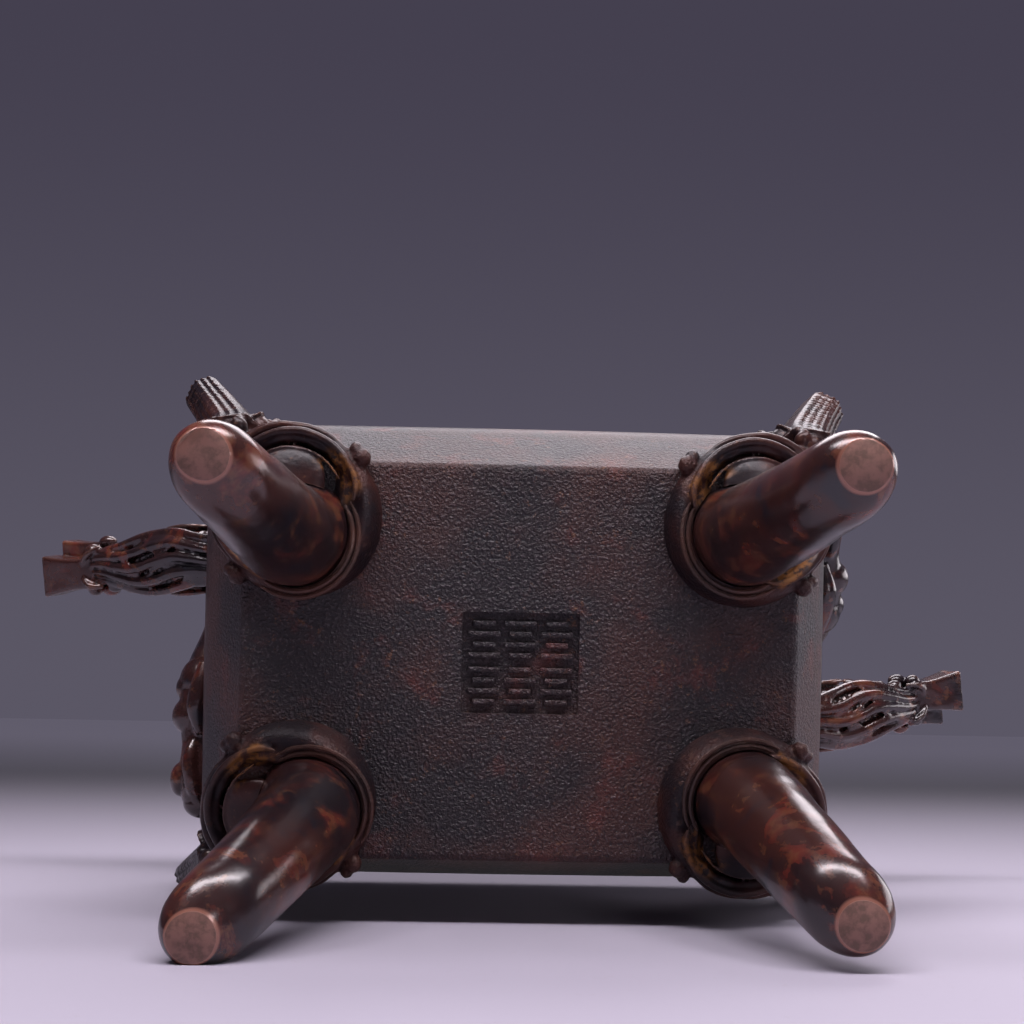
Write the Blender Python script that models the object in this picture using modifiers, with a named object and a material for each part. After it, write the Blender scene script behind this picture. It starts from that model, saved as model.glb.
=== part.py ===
"""Copper incense burner: a rectangular censer that stands on four splayed legs.

The body is one casting: a bulging rectangular bowl with a flat bottom plate, a beast
mask at each lower corner, a crest that climbs from each mask, and a recessed panel
under the plate. A leg sits in the mouth of each mask, and a dragon climbs each short
wall, with its head standing off as the handle.

Frame: metres, +Z up, +X along the long side, origin on the ground under the middle.
"""
import math

import bmesh
import bpy
from mathutils import Euler, Matrix, Vector

# Bottom plate
LEG_HEIGHT = 0.048
PLATE_LENGTH = 0.100
PLATE_WIDTH = 0.071
PLATE_CORNER = 0.003

# Bowl above the plate
BOWL_HEIGHT = 0.072
BELLY_HEIGHT = 0.033
BELLY_SPREAD_LENGTH = 0.0112
BELLY_SPREAD_WIDTH = 0.0086
BELLY_CORNER = 0.010
BELLY_BOW = 0.0010
NECK_HEIGHT = 0.056
NECK_INSET = 0.0075
RIM_OVERHANG = 0.0078
RIM_BAND = 0.004
WALL = 0.0045
FLOOR = 0.006

# Panel under the plate, with rows of strokes
PANEL_LENGTH = 0.0212
PANEL_WIDTH = 0.0183
PANEL_DEPTH = 0.0010
PANEL_COLUMNS = 3
PANEL_ROWS = 2
STROKE_HEIGHT = 0.0007
STROKE_WIDTH = 0.0009
STROKES_PER_CELL = 4
LONG_STROKE = 0.74
SHORT_STROKE = 0.50

# Legs
LEG_INSET = 0.0090
LEG_SET_BACK = 0.0026
LEG_SPLAY = 0.0141
LEG_SWEEP = 1.5
LEG_ROOT_RADIUS = 0.0093
LEG_FOOT_RADIUS = 0.0069
FOOT_FLAT_RADIUS = 0.0040
SOCKET_DEPTH = 0.0035
FIT_GAP = 0.0003

# Beast masks
COLLAR_RADIUS = 0.0119
COLLAR_LIP = 0.0029
COLLAR_TILT = math.radians(22.0)
MASK_HEIGHT = 0.034
MASK_WIDTH = 0.023
MASK_PROUD = 0.0050
NUB_RADIUS = 0.0023

# Crests above the masks
CREST_REACH = 0.0155
CREST_TOP = 0.052
CREST_ROOT_WIDTH = 0.0085
CREST_TIP_WIDTH = 0.0052
CREST_ROOT_DEPTH = 0.0180
CREST_TIP_DEPTH = 0.0085

# Dragon handles
HANDLE_SIDE = 0.0170
HANDLE_ROOT_HEIGHT = 0.0550
HANDLE_LENGTH = 0.0550
HANDLE_RISE = math.radians(28.5)
HANDLE_TURN = math.radians(-6.0)
HEAD_WIDTH = 0.0136
HEAD_DEPTH = 0.0118
MUZZLE_WIDTH = 0.0094
MUZZLE_LENGTH = 0.0100
LIMB_RADIUS = 0.0046
LIMB_REACH = 0.0340
ROUNDEL_RADIUS = 0.0034

# Facets
SKIN_GRAIN = 0.00045
MASK_FACETS = 895
DRAGON_FACETS = 880
LEG_SIDES = 14
LEG_STEPS = 8
FOOT_STEPS = 4
COLLAR_SIDES = 28
LIP_SIDES = 8
HEAD_SIDES = 14
CORNER_STEPS = 5
SIDE_STEPS = 3

PARTS = "copper_incense_burner"
CUTTERS = "cutters"


def clear_scene():
    """Remove every object that the file starts with."""
    for obj in list(bpy.data.objects):
        bpy.data.objects.remove(obj)


def collection(name):
    """The collection of that name, made and linked when it is missing."""
    found = bpy.data.collections.get(name)
    if found is None:
        found = bpy.data.collections.new(name)
        bpy.context.scene.collection.children.link(found)
    return found


def finish(name, colour, roughness, metallic):
    """A Principled material with the piece's own colour."""
    material = bpy.data.materials.new(name)
    material.use_nodes = True
    shader = material.node_tree.nodes["Principled BSDF"]
    shader.inputs["Base Color"].default_value = (*colour, 1.0)
    shader.inputs["Roughness"].default_value = roughness
    shader.inputs["Metallic"].default_value = metallic
    return material


def add_object(name, mesh, group=PARTS):
    """An object for a mesh, in one of the two collections."""
    obj = bpy.data.objects.new(name, mesh)
    collection(group).objects.link(obj)
    return obj


def baked(obj):
    """The mesh of an object as its modifiers leave it, in world space."""
    depsgraph = bpy.context.evaluated_depsgraph_get()
    mesh = bpy.data.meshes.new_from_object(obj.evaluated_get(depsgraph))
    mesh.transform(obj.matrix_world)
    return mesh


def loft(name, rings):
    """A closed skin over rings of equally many points, capped at both ends."""
    bm = bmesh.new()
    loops = [[bm.verts.new(point) for point in ring] for ring in rings]
    for lower, upper in zip(loops, loops[1:]):
        for index, corner in enumerate(lower):
            after = (index + 1) % len(lower)
            bm.faces.new((corner, lower[after], upper[after], upper[index]))
    bm.faces.new(reversed(loops[0]))
    bm.faces.new(loops[-1])
    bmesh.ops.recalc_face_normals(bm, faces=bm.faces)
    bmesh.ops.triangulate(bm, faces=bm.faces)
    mesh = bpy.data.meshes.new(name)
    bm.to_mesh(mesh)
    bm.free()
    return add_object(name, mesh)


def blob(name, centre, radii, turn=(0.0, 0.0, 0.0), segments=12, rings=8):
    """A rounded lump: a sphere drawn out to three radii and turned."""
    bm = bmesh.new()
    bmesh.ops.create_uvsphere(bm, u_segments=segments, v_segments=rings, radius=1.0)
    place = Matrix.Translation(centre) @ Euler(turn).to_matrix().to_4x4()
    bm.transform(place @ Matrix.Diagonal((*radii, 1.0)))
    mesh = bpy.data.meshes.new(name)
    bm.to_mesh(mesh)
    bm.free()
    return add_object(name, mesh)


def tube(name, points, radii, sides=8):
    """A closed round bar through the points, with a radius of its own at each."""
    curve = bpy.data.curves.new(name, "CURVE")
    curve.dimensions = "3D"
    curve.bevel_depth = 1.0
    curve.bevel_resolution = sides // 2 - 2
    curve.use_fill_caps = True
    spline = curve.splines.new("POLY")
    spline.points.add(len(points) - 1)
    for knot, point, radius in zip(spline.points, points, radii):
        knot.co = (*point, 1.0)
        knot.radius = radius
    guide = add_object(name, curve)
    mesh = baked(guide)
    bpy.data.objects.remove(guide)
    bm = bmesh.new()
    bm.from_mesh(mesh)
    bmesh.ops.remove_doubles(bm, verts=bm.verts, dist=1e-6)
    bmesh.ops.recalc_face_normals(bm, faces=bm.faces)
    bm.to_mesh(mesh)
    bm.free()
    return add_object(name, mesh)


def smooth_path(knots, steps):
    """Points of a smooth curve through the knots, as many steps between each pair."""
    ends = [2 * Vector(knots[0]) - Vector(knots[1])]
    ends += [Vector(knot) for knot in knots]
    ends.append(2 * Vector(knots[-1]) - Vector(knots[-2]))
    points = []
    for before, start, stop, after in zip(ends, ends[1:], ends[2:], ends[3:]):
        for step in range(steps):
            share = step / steps
            pull = (stop - before) * share + (2 * before - 5 * start + 4 * stop - after) * share ** 2
            pull += (3 * start - before - 3 * stop + after) * share ** 3
            points.append(start + 0.5 * pull)
    points.append(ends[-2])
    return points


def ribbon(name, knots, thickness, sides=6, steps=3):
    """A bar along a smooth path that swells in the middle and thins at both ends."""
    points = smooth_path(knots, steps)
    last = len(points) - 1
    radii = [thickness * (0.45 + 0.55 * math.sin(math.pi * index / last)) for index in range(last + 1)]
    return tube(name, points, radii, sides)


def fuse(target, tool):
    """Join a second closed body into the first and drop it."""
    change(target, tool, "UNION")


def carve(target, tool):
    """Cut a closed body out of the first and drop it."""
    change(target, tool, "DIFFERENCE")


def change(target, tool, operation):
    """Apply one Boolean of the tool to the target."""
    modifier = target.modifiers.new(operation.title(), "BOOLEAN")
    modifier.operation = operation
    modifier.solver = "EXACT"
    modifier.object = tool
    mesh = baked(target)
    target.modifiers.clear()
    target.data = mesh
    bpy.data.objects.remove(tool)


def cast_together(name, pieces, facets):
    """One skin round several overlapping bodies, as a casting has, in about that many facets."""
    bm = bmesh.new()
    for piece in pieces:
        bm.from_mesh(piece.data)
        bpy.data.objects.remove(piece)
    mesh = bpy.data.meshes.new(name)
    bm.to_mesh(mesh)
    bm.free()
    obj = add_object(name, mesh)
    skin = obj.modifiers.new("Skin", "REMESH")
    skin.mode = "VOXEL"
    skin.voxel_size = SKIN_GRAIN
    obj.data = baked(obj)
    obj.modifiers.clear()
    thin = obj.modifiers.new("Thin", "DECIMATE")
    thin.ratio = min(1.0, facets / (2 * len(obj.data.polygons)))
    obj.data = baked(obj)
    obj.modifiers.clear()
    return obj


def copy_of(source, name, place):
    """A copy of an object with its mesh moved by a matrix."""
    mesh = source.data.copy()
    mesh.transform(place)
    return add_object(name, mesh)


def keep_cut(target, cutter):
    """Leave a cut on its object, with its cutter in the cutters' collection."""
    collection(PARTS).objects.unlink(cutter)
    collection(CUTTERS).objects.link(cutter)
    cutter.hide_render = True
    cutter.display_type = "WIRE"
    modifier = target.modifiers.new("Cut " + cutter.name, "BOOLEAN")
    modifier.operation = "DIFFERENCE"
    modifier.solver = "EXACT"
    modifier.object = cutter


def complete(obj, material, sharp=math.radians(35.0)):
    """Give a finished piece its material and its smooth shading."""
    obj.data.materials.clear()
    obj.data.materials.append(material)
    obj.data.shade_smooth()
    obj.data.set_sharp_from_angle(angle=sharp)


def outset(height, spread):
    """How far the wall stands outside the plate's edge at a height above the plate."""
    if height <= BELLY_HEIGHT:
        return spread * math.sin(math.pi / 2 * height / BELLY_HEIGHT)
    if height <= NECK_HEIGHT:
        share = (height - BELLY_HEIGHT) / (NECK_HEIGHT - BELLY_HEIGHT)
        return spread - NECK_INSET * (1 - math.cos(math.pi * share)) / 2
    band = BOWL_HEIGHT - RIM_BAND
    share = min(1.0, (height - NECK_HEIGHT) / (band - NECK_HEIGHT))
    return spread - NECK_INSET + RIM_OVERHANG * (1 - math.cos(math.pi / 2 * share))


def corner_radius(height):
    """Radius of the wall's corners in plan at a height above the plate."""
    share = min(1.0, height / BELLY_HEIGHT)
    return PLATE_CORNER + (BELLY_CORNER - PLATE_CORNER) * math.sin(math.pi / 2 * share)


def wall_thickness(height, spread):
    """The wall measured level, so that it keeps its thickness where it slants."""
    step = 0.0005
    slope = (outset(height + step, spread) - outset(height - step, spread)) / (2 * step)
    return WALL * min(1.5, math.hypot(1.0, slope))


def wall_ring(height, inner=False, grow=0.0):
    """The wall's outline in plan: a rectangle with round corners and bowed sides."""
    half_length = PLATE_LENGTH / 2 + outset(height, BELLY_SPREAD_LENGTH) + grow
    half_width = PLATE_WIDTH / 2 + outset(height, BELLY_SPREAD_WIDTH) + grow
    radius = corner_radius(height)
    if inner:
        half_length -= wall_thickness(height, BELLY_SPREAD_LENGTH)
        half_width -= wall_thickness(height, BELLY_SPREAD_WIDTH)
        radius = max(radius - WALL, PLATE_CORNER)
    bow = BELLY_BOW * math.sin(math.pi / 2 * min(1.0, height / BELLY_HEIGHT))
    points = []
    for quarter in range(4):
        along_x = (1, -1, -1, 1)[quarter]
        along_y = (1, 1, -1, -1)[quarter]
        middle = Vector((along_x * (half_length - radius), along_y * (half_width - radius)))
        for step in range(CORNER_STEPS):
            angle = math.pi / 2 * (quarter + step / (CORNER_STEPS - 1))
            points.append(middle + radius * Vector((math.cos(angle), math.sin(angle))))
        side_end = math.pi / 2 * (quarter + 1)
        outward = Vector((math.cos(side_end), math.sin(side_end)))
        run = (half_length if quarter % 2 == 0 else half_width) - radius
        start = points[-1]
        heading = Vector((-outward.y, outward.x))
        for step in range(1, SIDE_STEPS):
            share = step / SIDE_STEPS
            lift = bow * math.sin(math.pi * share)
            points.append(start + heading * (2 * run * share) + outward * lift)
    return [Vector((point.x, point.y, LEG_HEIGHT + height)) for point in points]


def outer_heights():
    """Heights of the wall's rings above the plate, from the plate to the rim."""
    lower = [BELLY_HEIGHT * share for share in (0.0, 0.10, 0.28, 0.50, 0.75, 1.0)]
    neck = NECK_HEIGHT - BELLY_HEIGHT
    middle = [BELLY_HEIGHT + neck * share for share in (0.28, 0.52, 0.76, 1.0)]
    flare = BOWL_HEIGHT - RIM_BAND - NECK_HEIGHT
    upper = [NECK_HEIGHT + flare * share for share in (0.4, 0.75, 1.0)]
    return lower + middle + upper + [BOWL_HEIGHT]


def inner_heights():
    """Heights of the inside's rings, from the floor up to the rim."""
    return [FLOOR] + [height for height in outer_heights() if height > FLOOR * 1.2]


def wall_block(name, grow=0.0):
    """The bowl's outside as one solid; grow makes the block that pieces on the wall are cut by."""
    return loft(name, [wall_ring(height, grow=grow) for height in outer_heights()])


def cavity():
    """The bowl's inside as one solid, from the ash floor up past the rim."""
    rings = [wall_ring(height, inner=True) for height in inner_heights()]
    rings.append([point + Vector((0.0, 0.0, WALL)) for point in rings[-1]])
    return loft("cavity", rings)


def box(name, centre, size):
    """A plain block."""
    bm = bmesh.new()
    bmesh.ops.create_cube(bm, size=1.0)
    bm.transform(Matrix.Translation(centre) @ Matrix.Diagonal((*size, 1.0)))
    mesh = bpy.data.meshes.new(name)
    bm.to_mesh(mesh)
    bm.free()
    return add_object(name, mesh)


def panel_strokes():
    """Rows of short raised strokes in each cell of the panel, as one mesh of separate bars."""
    cell_x = PANEL_LENGTH / PANEL_COLUMNS
    cell_y = PANEL_WIDTH / PANEL_ROWS
    pitch = (cell_y - STROKE_WIDTH) / STROKES_PER_CELL
    middle_z = LEG_HEIGHT + PANEL_DEPTH - STROKE_HEIGHT / 2 + FIT_GAP / 2
    pieces = []
    for column in range(PANEL_COLUMNS):
        for row in range(PANEL_ROWS):
            for bar in range(STROKES_PER_CELL):
                reach = cell_x * (LONG_STROKE if (bar + column + row) % 2 else SHORT_STROKE)
                centre_x = (column + 0.5) * cell_x - PANEL_LENGTH / 2
                centre_y = row * cell_y + STROKE_WIDTH + pitch * (bar + 0.38) - PANEL_WIDTH / 2
                size = (reach, STROKE_WIDTH, STROKE_HEIGHT + FIT_GAP)
                pieces.append(box("stroke", (centre_x, centre_y, middle_z), size))
    bm = bmesh.new()
    for piece in pieces:
        bm.from_mesh(piece.data)
        bpy.data.objects.remove(piece)
    mesh = bpy.data.meshes.new("strokes")
    bm.to_mesh(mesh)
    bm.free()
    return add_object("strokes", mesh)


def leg_point(height):
    """The leg's middle line in its own upright plane: straight in the mask, then swept outward."""
    share = max(0.0, 1 - height / LEG_HEIGHT) ** LEG_SWEEP
    reach = (LEG_SPLAY + LEG_SET_BACK) * share - LEG_SET_BACK
    return Vector((reach, 0.0, height - LEG_HEIGHT))


def leg_radius(height):
    """The leg's radius: it tapers down to a rounded foot with a worn flat."""
    share = min(1.0, max(0.0, height / LEG_HEIGHT))
    body = LEG_FOOT_RADIUS + (LEG_ROOT_RADIUS - LEG_FOOT_RADIUS) * share
    if height >= LEG_FOOT_RADIUS:
        return body
    rise = min(1.0, 1 - height / LEG_FOOT_RADIUS)
    return FOOT_FLAT_RADIUS + (body - FOOT_FLAT_RADIUS) * math.sqrt(max(0.0, 1 - rise ** 2))


def leg_bar(name, grow=0.0):
    """A leg in the mask's own frame, swept along its middle line; grow makes its socket."""
    top = LEG_HEIGHT + SOCKET_DEPTH
    foot = [-FIT_GAP] + [LEG_FOOT_RADIUS * (1 - math.cos(math.pi / 2 * step / FOOT_STEPS))
                         for step in range(1, FOOT_STEPS + 1)]
    shaft = [LEG_FOOT_RADIUS + (top - LEG_FOOT_RADIUS) * step / LEG_STEPS
             for step in range(1, LEG_STEPS + 1)]
    heights = foot + shaft + [top + LEG_ROOT_RADIUS]
    points = [leg_point(height) for height in heights]
    radii = [leg_radius(height) + grow for height in heights]
    bar = tube(name, points, radii, LEG_SIDES)
    cut_level(bar, SOCKET_DEPTH + grow, 1.0)
    cut_level(bar, -LEG_HEIGHT, -1.0)
    return bar


def cut_level(obj, height, side):
    """Cut off what lies beyond a level plane, above it or below it, and close the cut."""
    bm = bmesh.new()
    bm.from_mesh(obj.data)
    geometry = bm.verts[:] + bm.edges[:] + bm.faces[:]
    cut = bmesh.ops.bisect_plane(bm, geom=geometry, plane_co=(0.0, 0.0, height), plane_no=(0.0, 0.0, side),
                                 clear_outer=True)
    edges = [item for item in cut["geom_cut"] if isinstance(item, bmesh.types.BMEdge)]
    bmesh.ops.edgeloop_fill(bm, edges=edges)
    bmesh.ops.recalc_face_normals(bm, faces=bm.faces)
    bm.to_mesh(obj.data)
    bm.free()


def around_leg(angle, radius, height):
    """A point in the mask's frame on a ring round the leg's root; angle 0 faces outward."""
    return Vector((radius * math.cos(angle), radius * math.sin(angle), height))


def collar():
    """The lower jaw: a thick lip round the leg's root, tilted square to the leg."""
    bm = bmesh.new()
    bmesh.ops.create_cone(bm, cap_ends=True, segments=COLLAR_SIDES,
                          radius1=COLLAR_RADIUS + COLLAR_LIP * 0.55,
                          radius2=COLLAR_RADIUS + COLLAR_LIP * 1.3, depth=MASK_HEIGHT * 0.35)
    bm.transform(Matrix.Translation((0.0, 0.0, MASK_HEIGHT * 0.175 - COLLAR_LIP * 0.4)))
    seat_mesh = bpy.data.meshes.new("seat")
    bm.to_mesh(seat_mesh)
    bm.free()
    seat = add_object("seat", seat_mesh)
    angles = [2 * math.pi * step / COLLAR_SIDES for step in range(COLLAR_SIDES)]
    rings = []
    for angle in angles:
        ring = []
        for step in range(LIP_SIDES):
            turn = 2 * math.pi * step / LIP_SIDES
            reach = COLLAR_RADIUS + COLLAR_LIP * math.cos(turn)
            ring.append(around_leg(angle, reach, COLLAR_LIP * math.sin(turn)))
        rings.append(ring)
    lip = ring_skin("lip", rings)
    fuse(seat, lip)
    tilt = Matrix.Rotation(-COLLAR_TILT, 4, "Y")
    seat.data.transform(Matrix.Translation((0.0, 0.0, COLLAR_LIP * 0.5)) @ tilt)
    return seat


def ring_skin(name, rings):
    """A closed skin over rings that run round and meet their start."""
    bm = bmesh.new()
    loops = [[bm.verts.new(point) for point in ring] for ring in rings]
    for index, lower in enumerate(loops):
        upper = loops[(index + 1) % len(loops)]
        for spot in range(len(lower)):
            after = (spot + 1) % len(lower)
            bm.faces.new((lower[spot], lower[after], upper[after], upper[spot]))
    bmesh.ops.recalc_face_normals(bm, faces=bm.faces)
    mesh = bpy.data.meshes.new(name)
    bm.to_mesh(mesh)
    bm.free()
    return add_object(name, mesh)


def belly_corner_reach():
    """How far the belly's rounded corner stands out from the leg's root, along the diagonal."""
    across = LEG_INSET + BELLY_SPREAD_LENGTH - BELLY_CORNER * (1 - math.sqrt(0.5))
    along = LEG_INSET + BELLY_SPREAD_WIDTH - BELLY_CORNER * (1 - math.sqrt(0.5))
    return (across + along) * math.sqrt(0.5)


def mask_face():
    """The head above the mouth: brow, eyes, nose, cheeks, lips and ears."""
    high = MASK_HEIGHT
    wide = MASK_WIDTH / 2
    front = belly_corner_reach() + MASK_PROUD * 0.6
    pieces = [blob("head", (front * 0.50, 0.0, high * 0.46), (front * 0.49, wide * 1.02, high * 0.50),
                   segments=18, rings=12)]
    pieces.append(blob("muzzle", (front * 0.82, 0.0, high * 0.27), (front * 0.20, wide * 0.56, high * 0.15)))
    pieces.append(blob("nose", (front * 0.97, 0.0, high * 0.38), (wide * 0.28, wide * 0.36, high * 0.10)))
    pieces.append(ribbon("nose_ridge", [(front * 0.98, 0.0, high * 0.42), (front * 0.97, 0.0, high * 0.60),
                                        (front * 0.86, 0.0, high * 0.84)], wide * 0.22))
    for side in (1, -1):
        pieces += mask_side(side, high, wide, front)
    return pieces


def mask_side(side, high, wide, front):
    """One half of the mask's features."""
    def at(forward, out, up):
        return Vector((front * forward, side * wide * out, high * up))

    eye = blob("eye", at(0.86, 0.52, 0.58), (wide * 0.24, wide * 0.24, wide * 0.24), segments=10, rings=8)
    brow = ribbon("brow", [at(0.98, 0.14, 0.60), at(0.93, 0.50, 0.77), at(0.72, 0.92, 0.86),
                           at(0.50, 1.06, 0.94)], wide * 0.24)
    nostril = blob("nostril", at(1.02, 0.30, 0.33), (wide * 0.18, wide * 0.20, wide * 0.17),
                   segments=8, rings=6)
    cheek = blob("cheek", at(0.62, 0.88, 0.36), (front * 0.24, wide * 0.30, high * 0.19),
                 (0.0, 0.35, side * -0.55), segments=10, rings=8)
    lip = ribbon("lip", [at(1.00, 0.02, 0.20), at(0.90, 0.52, 0.15), at(0.62, 1.00, 0.13),
                         at(0.28, 1.20, 0.04), at(0.02, 1.14, -0.05)], wide * 0.20, steps=4)
    fold = ribbon("fold", [at(0.88, 0.10, 0.07), at(0.74, 0.62, 0.03), at(0.46, 0.98, -0.02),
                           at(0.18, 1.04, -0.09)], wide * 0.14, steps=4)
    fang = tube("fang", [at(0.84, 0.32, 0.16), at(0.86, 0.33, 0.02), at(0.83, 0.32, -0.06)],
                [wide * 0.14, wide * 0.10, wide * 0.03], 6)
    ear = blob("ear", at(0.42, 1.06, 0.62), (front * 0.19, wide * 0.20, high * 0.13),
               (0.0, 0.75, side * 0.35), segments=10, rings=6)
    nub = blob("nub", around_leg(side * math.radians(93.0), COLLAR_RADIUS + COLLAR_LIP * 1.5, 0.0),
               (NUB_RADIUS, NUB_RADIUS, NUB_RADIUS), segments=8, rings=6)
    return [eye, brow, nostril, cheek, lip, fold, fang, ear, nub]


def crest_ring(middle, heading, width, depth):
    """One section across the crest: a ridged roof outside and straight sides, square to its heading."""
    normal = Vector((heading.z, 0.0, -heading.x))
    shape = ((0.0, 0.50), (0.34, 0.40), (0.50, 0.22), (0.50, -0.30), (0.30, -0.50),
             (-0.30, -0.50), (-0.50, -0.30), (-0.50, 0.22), (-0.34, 0.40))
    return [middle + Vector((0.0, width * across, 0.0)) + normal * (depth * out) for across, out in shape]


def crest():
    """The crest that climbs from the mask's brow along the corner and ends square-cut."""
    root = belly_corner_reach()
    knots = [(root - CREST_ROOT_DEPTH * 0.35, 0.0, MASK_HEIGHT * 0.45),
             (root - CREST_ROOT_DEPTH * 0.18, 0.0, MASK_HEIGHT * 0.80),
             (root + CREST_REACH * 0.28, 0.0, CREST_TOP * 0.78),
             (root + CREST_REACH * 0.80, 0.0, CREST_TOP - CREST_TIP_DEPTH * 0.2)]
    points = smooth_path(knots, 4)
    last = len(points) - 1
    rings = []
    for index, point in enumerate(points):
        heading = (points[min(index + 1, last)] - points[max(index - 1, 0)]).normalized()
        share = index / last
        width = CREST_ROOT_WIDTH + (CREST_TIP_WIDTH - CREST_ROOT_WIDTH) * share
        depth = CREST_ROOT_DEPTH + (CREST_TIP_DEPTH - CREST_ROOT_DEPTH) * share
        rings.append(crest_ring(point, heading, width, depth))
    return loft("crest", rings)


def corner_places():
    """Placement of each corner's frame: at the leg's root, with +X turned outward."""
    places = {}
    across = PLATE_LENGTH / 2 - LEG_INSET
    along = PLATE_WIDTH / 2 - LEG_INSET
    for number, (side_x, side_y) in enumerate(((1, 1), (-1, 1), (-1, -1), (1, -1)), start=1):
        turn = math.atan2(side_y, side_x)
        spot = Matrix.Translation((side_x * across, side_y * along, LEG_HEIGHT))
        places[number] = spot @ Matrix.Rotation(turn, 4, "Z")
    return places


def vessel(material):
    """The whole body casting."""
    body = wall_block("vessel")
    corner = cast_together("corner", [collar(), crest()] + mask_face(), MASK_FACETS)
    for number, place in corner_places().items():
        fuse(body, copy_of(corner, f"corner_{number}", place))
    bpy.data.objects.remove(corner)
    carve(body, cavity())
    recess = box("recess", (0.0, 0.0, LEG_HEIGHT), (PANEL_LENGTH, PANEL_WIDTH, PANEL_DEPTH * 2))
    carve(body, recess)
    fuse(body, panel_strokes())
    complete(body, material)
    return body


def legs(body, material):
    """Four legs, each seated in its mask's mouth with a fit gap round it."""
    model = leg_bar("leg")
    socket = leg_bar("socket", FIT_GAP)
    for number, place in corner_places().items():
        complete(copy_of(model, f"leg_{number}", place), material)
        keep_cut(body, copy_of(socket, f"socket_{number}", place))
    bpy.data.objects.remove(model)
    bpy.data.objects.remove(socket)


def squared_ring(along, width, depth, squareness, drop=0.0, shift=0.0):
    """A section across the head that runs from an oval to a rounded square."""
    ring = []
    for step in range(HEAD_SIDES):
        angle = 2 * math.pi * (step + 0.5) / HEAD_SIDES
        flat = 1.0 / max(abs(math.cos(angle)), abs(math.sin(angle)))
        reach = 1 + (min(flat, 1.32) - 1) * squareness
        ring.append(Vector((along, shift + width / 2 * reach * math.cos(angle),
                            drop + depth / 2 * reach * math.sin(angle))))
    return ring


def dragon_head():
    """The handle in its own frame: +X runs from the wall to the muzzle, +Z is its upper side."""
    wide = HEAD_WIDTH
    deep = HEAD_DEPTH
    jaw = MUZZLE_LENGTH
    neck = HANDLE_LENGTH - jaw
    sections = [(-0.10, 0.92, 0.95, 0.0), (0.06, 0.95, 0.98, 0.0), (0.25, 1.00, 1.00, 0.0),
                (0.50, 0.98, 1.00, 0.1), (0.72, 0.86, 0.90, 0.2), (0.90, 0.68, 0.74, 0.5),
                (1.0, 0.60, 0.68, 0.9)]
    rings = [squared_ring(neck * along, wide * across, deep * tall, square)
             for along, across, tall, square in sections]
    skull = loft("skull", rings)
    lower_lip = [(-0.20, 0.82, 0.60, -0.14, -0.04), (0.45, 0.84, 0.62, -0.14, -0.05),
                 (0.86, 0.98, 0.72, -0.14, -0.06), (1.00, 0.92, 0.66, -0.14, -0.06)]
    upper_lip = [(-0.30, 0.86, 0.54, 0.20, 0.06), (0.50, 0.80, 0.50, 0.22, 0.08),
                 (0.84, 0.92, 0.56, 0.24, 0.10)]
    pieces = [skull]
    for name, lip in (("lower_muzzle", lower_lip), ("upper_muzzle", upper_lip)):
        rings = [squared_ring(neck + jaw * along, MUZZLE_WIDTH * across, MUZZLE_WIDTH * tall, 1.0,
                              deep * drop, wide * shift)
                 for along, across, tall, drop, shift in lip]
        pieces.append(loft(name, rings))
    for side in (1, -1):
        pieces += dragon_side(side, neck, wide, deep)
    return pieces


def dragon_side(side, neck, wide, deep):
    """One half of the dragon's features: knobs, cheek leaves, locks of hair, ear and horn."""
    def at(along, out, up):
        return Vector((neck * along, side * wide / 2 * out, deep / 2 * up))

    pieces = []
    for number, (along, out, up) in enumerate(((0.86, 0.62, 0.62), (0.90, 0.80, 0.0), (0.86, 0.62, -0.62))):
        pieces.append(blob(f"knob_{number}", at(along, out, up), (wide * 0.11,) * 3, segments=8, rings=6))
    pieces.append(blob("cheek_leaf", at(0.60, 0.72, -0.50), (neck * 0.17, wide * 0.10, deep * 0.15),
                       (0.5 * side, 0.06, side * -0.10), segments=10, rings=6))
    pieces.append(blob("ear_leaf", at(0.34, 0.86, 0.40), (neck * 0.16, wide * 0.10, deep * 0.16),
                       (-0.5 * side, -0.10, side * 0.12), segments=10, rings=6))
    pieces.append(ribbon("throat_lock", [at(0.78, 0.30, -0.90), at(0.55, 0.44, -1.05), at(0.30, 0.34, -1.02),
                                         at(0.05, 0.46, -0.92)], wide * 0.105))
    pieces.append(ribbon("mane_lock", [at(0.66, 0.72, 0.56), at(0.44, 0.98, 0.76), at(0.20, 0.92, 0.70),
                                       at(0.00, 1.00, 0.58)], wide * 0.10))
    pieces.append(ribbon("horn", [at(0.60, 0.34, 0.88), at(0.42, 0.42, 1.14), at(0.22, 0.50, 1.20),
                                  at(0.08, 0.42, 1.36)], wide * 0.10))
    pieces.append(blob("brow_knob", at(0.70, 0.42, 0.84), (wide * 0.15, wide * 0.13, deep * 0.13),
                       segments=8, rings=6))
    return pieces


def limb_knots():
    """The dragon's body along the wall: from behind the head, over the belly, to a blunt paw."""
    belly = PLATE_LENGTH / 2 + BELLY_SPREAD_LENGTH
    low = LEG_HEIGHT + BELLY_HEIGHT
    proud = LIMB_RADIUS * 0.55
    return [(belly - NECK_INSET * 0.50, HANDLE_SIDE, LEG_HEIGHT + HANDLE_ROOT_HEIGHT - LIMB_RADIUS),
            (belly - NECK_INSET * 0.35, HANDLE_SIDE - LIMB_REACH * 0.30, low + LIMB_RADIUS * 4.4),
            (belly + proud * 0.2, -LIMB_REACH * 0.06, low + LIMB_RADIUS * 3.3),
            (belly + proud * 0.8, -LIMB_REACH * 0.32, low + LIMB_RADIUS * 2.0),
            (belly + proud * 0.8, -LIMB_REACH * 0.66, low + LIMB_RADIUS * 1.2),
            (belly + proud * 0.6, -LIMB_REACH + LIMB_RADIUS * 0.2, low + LIMB_RADIUS * 0.7)]


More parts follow.
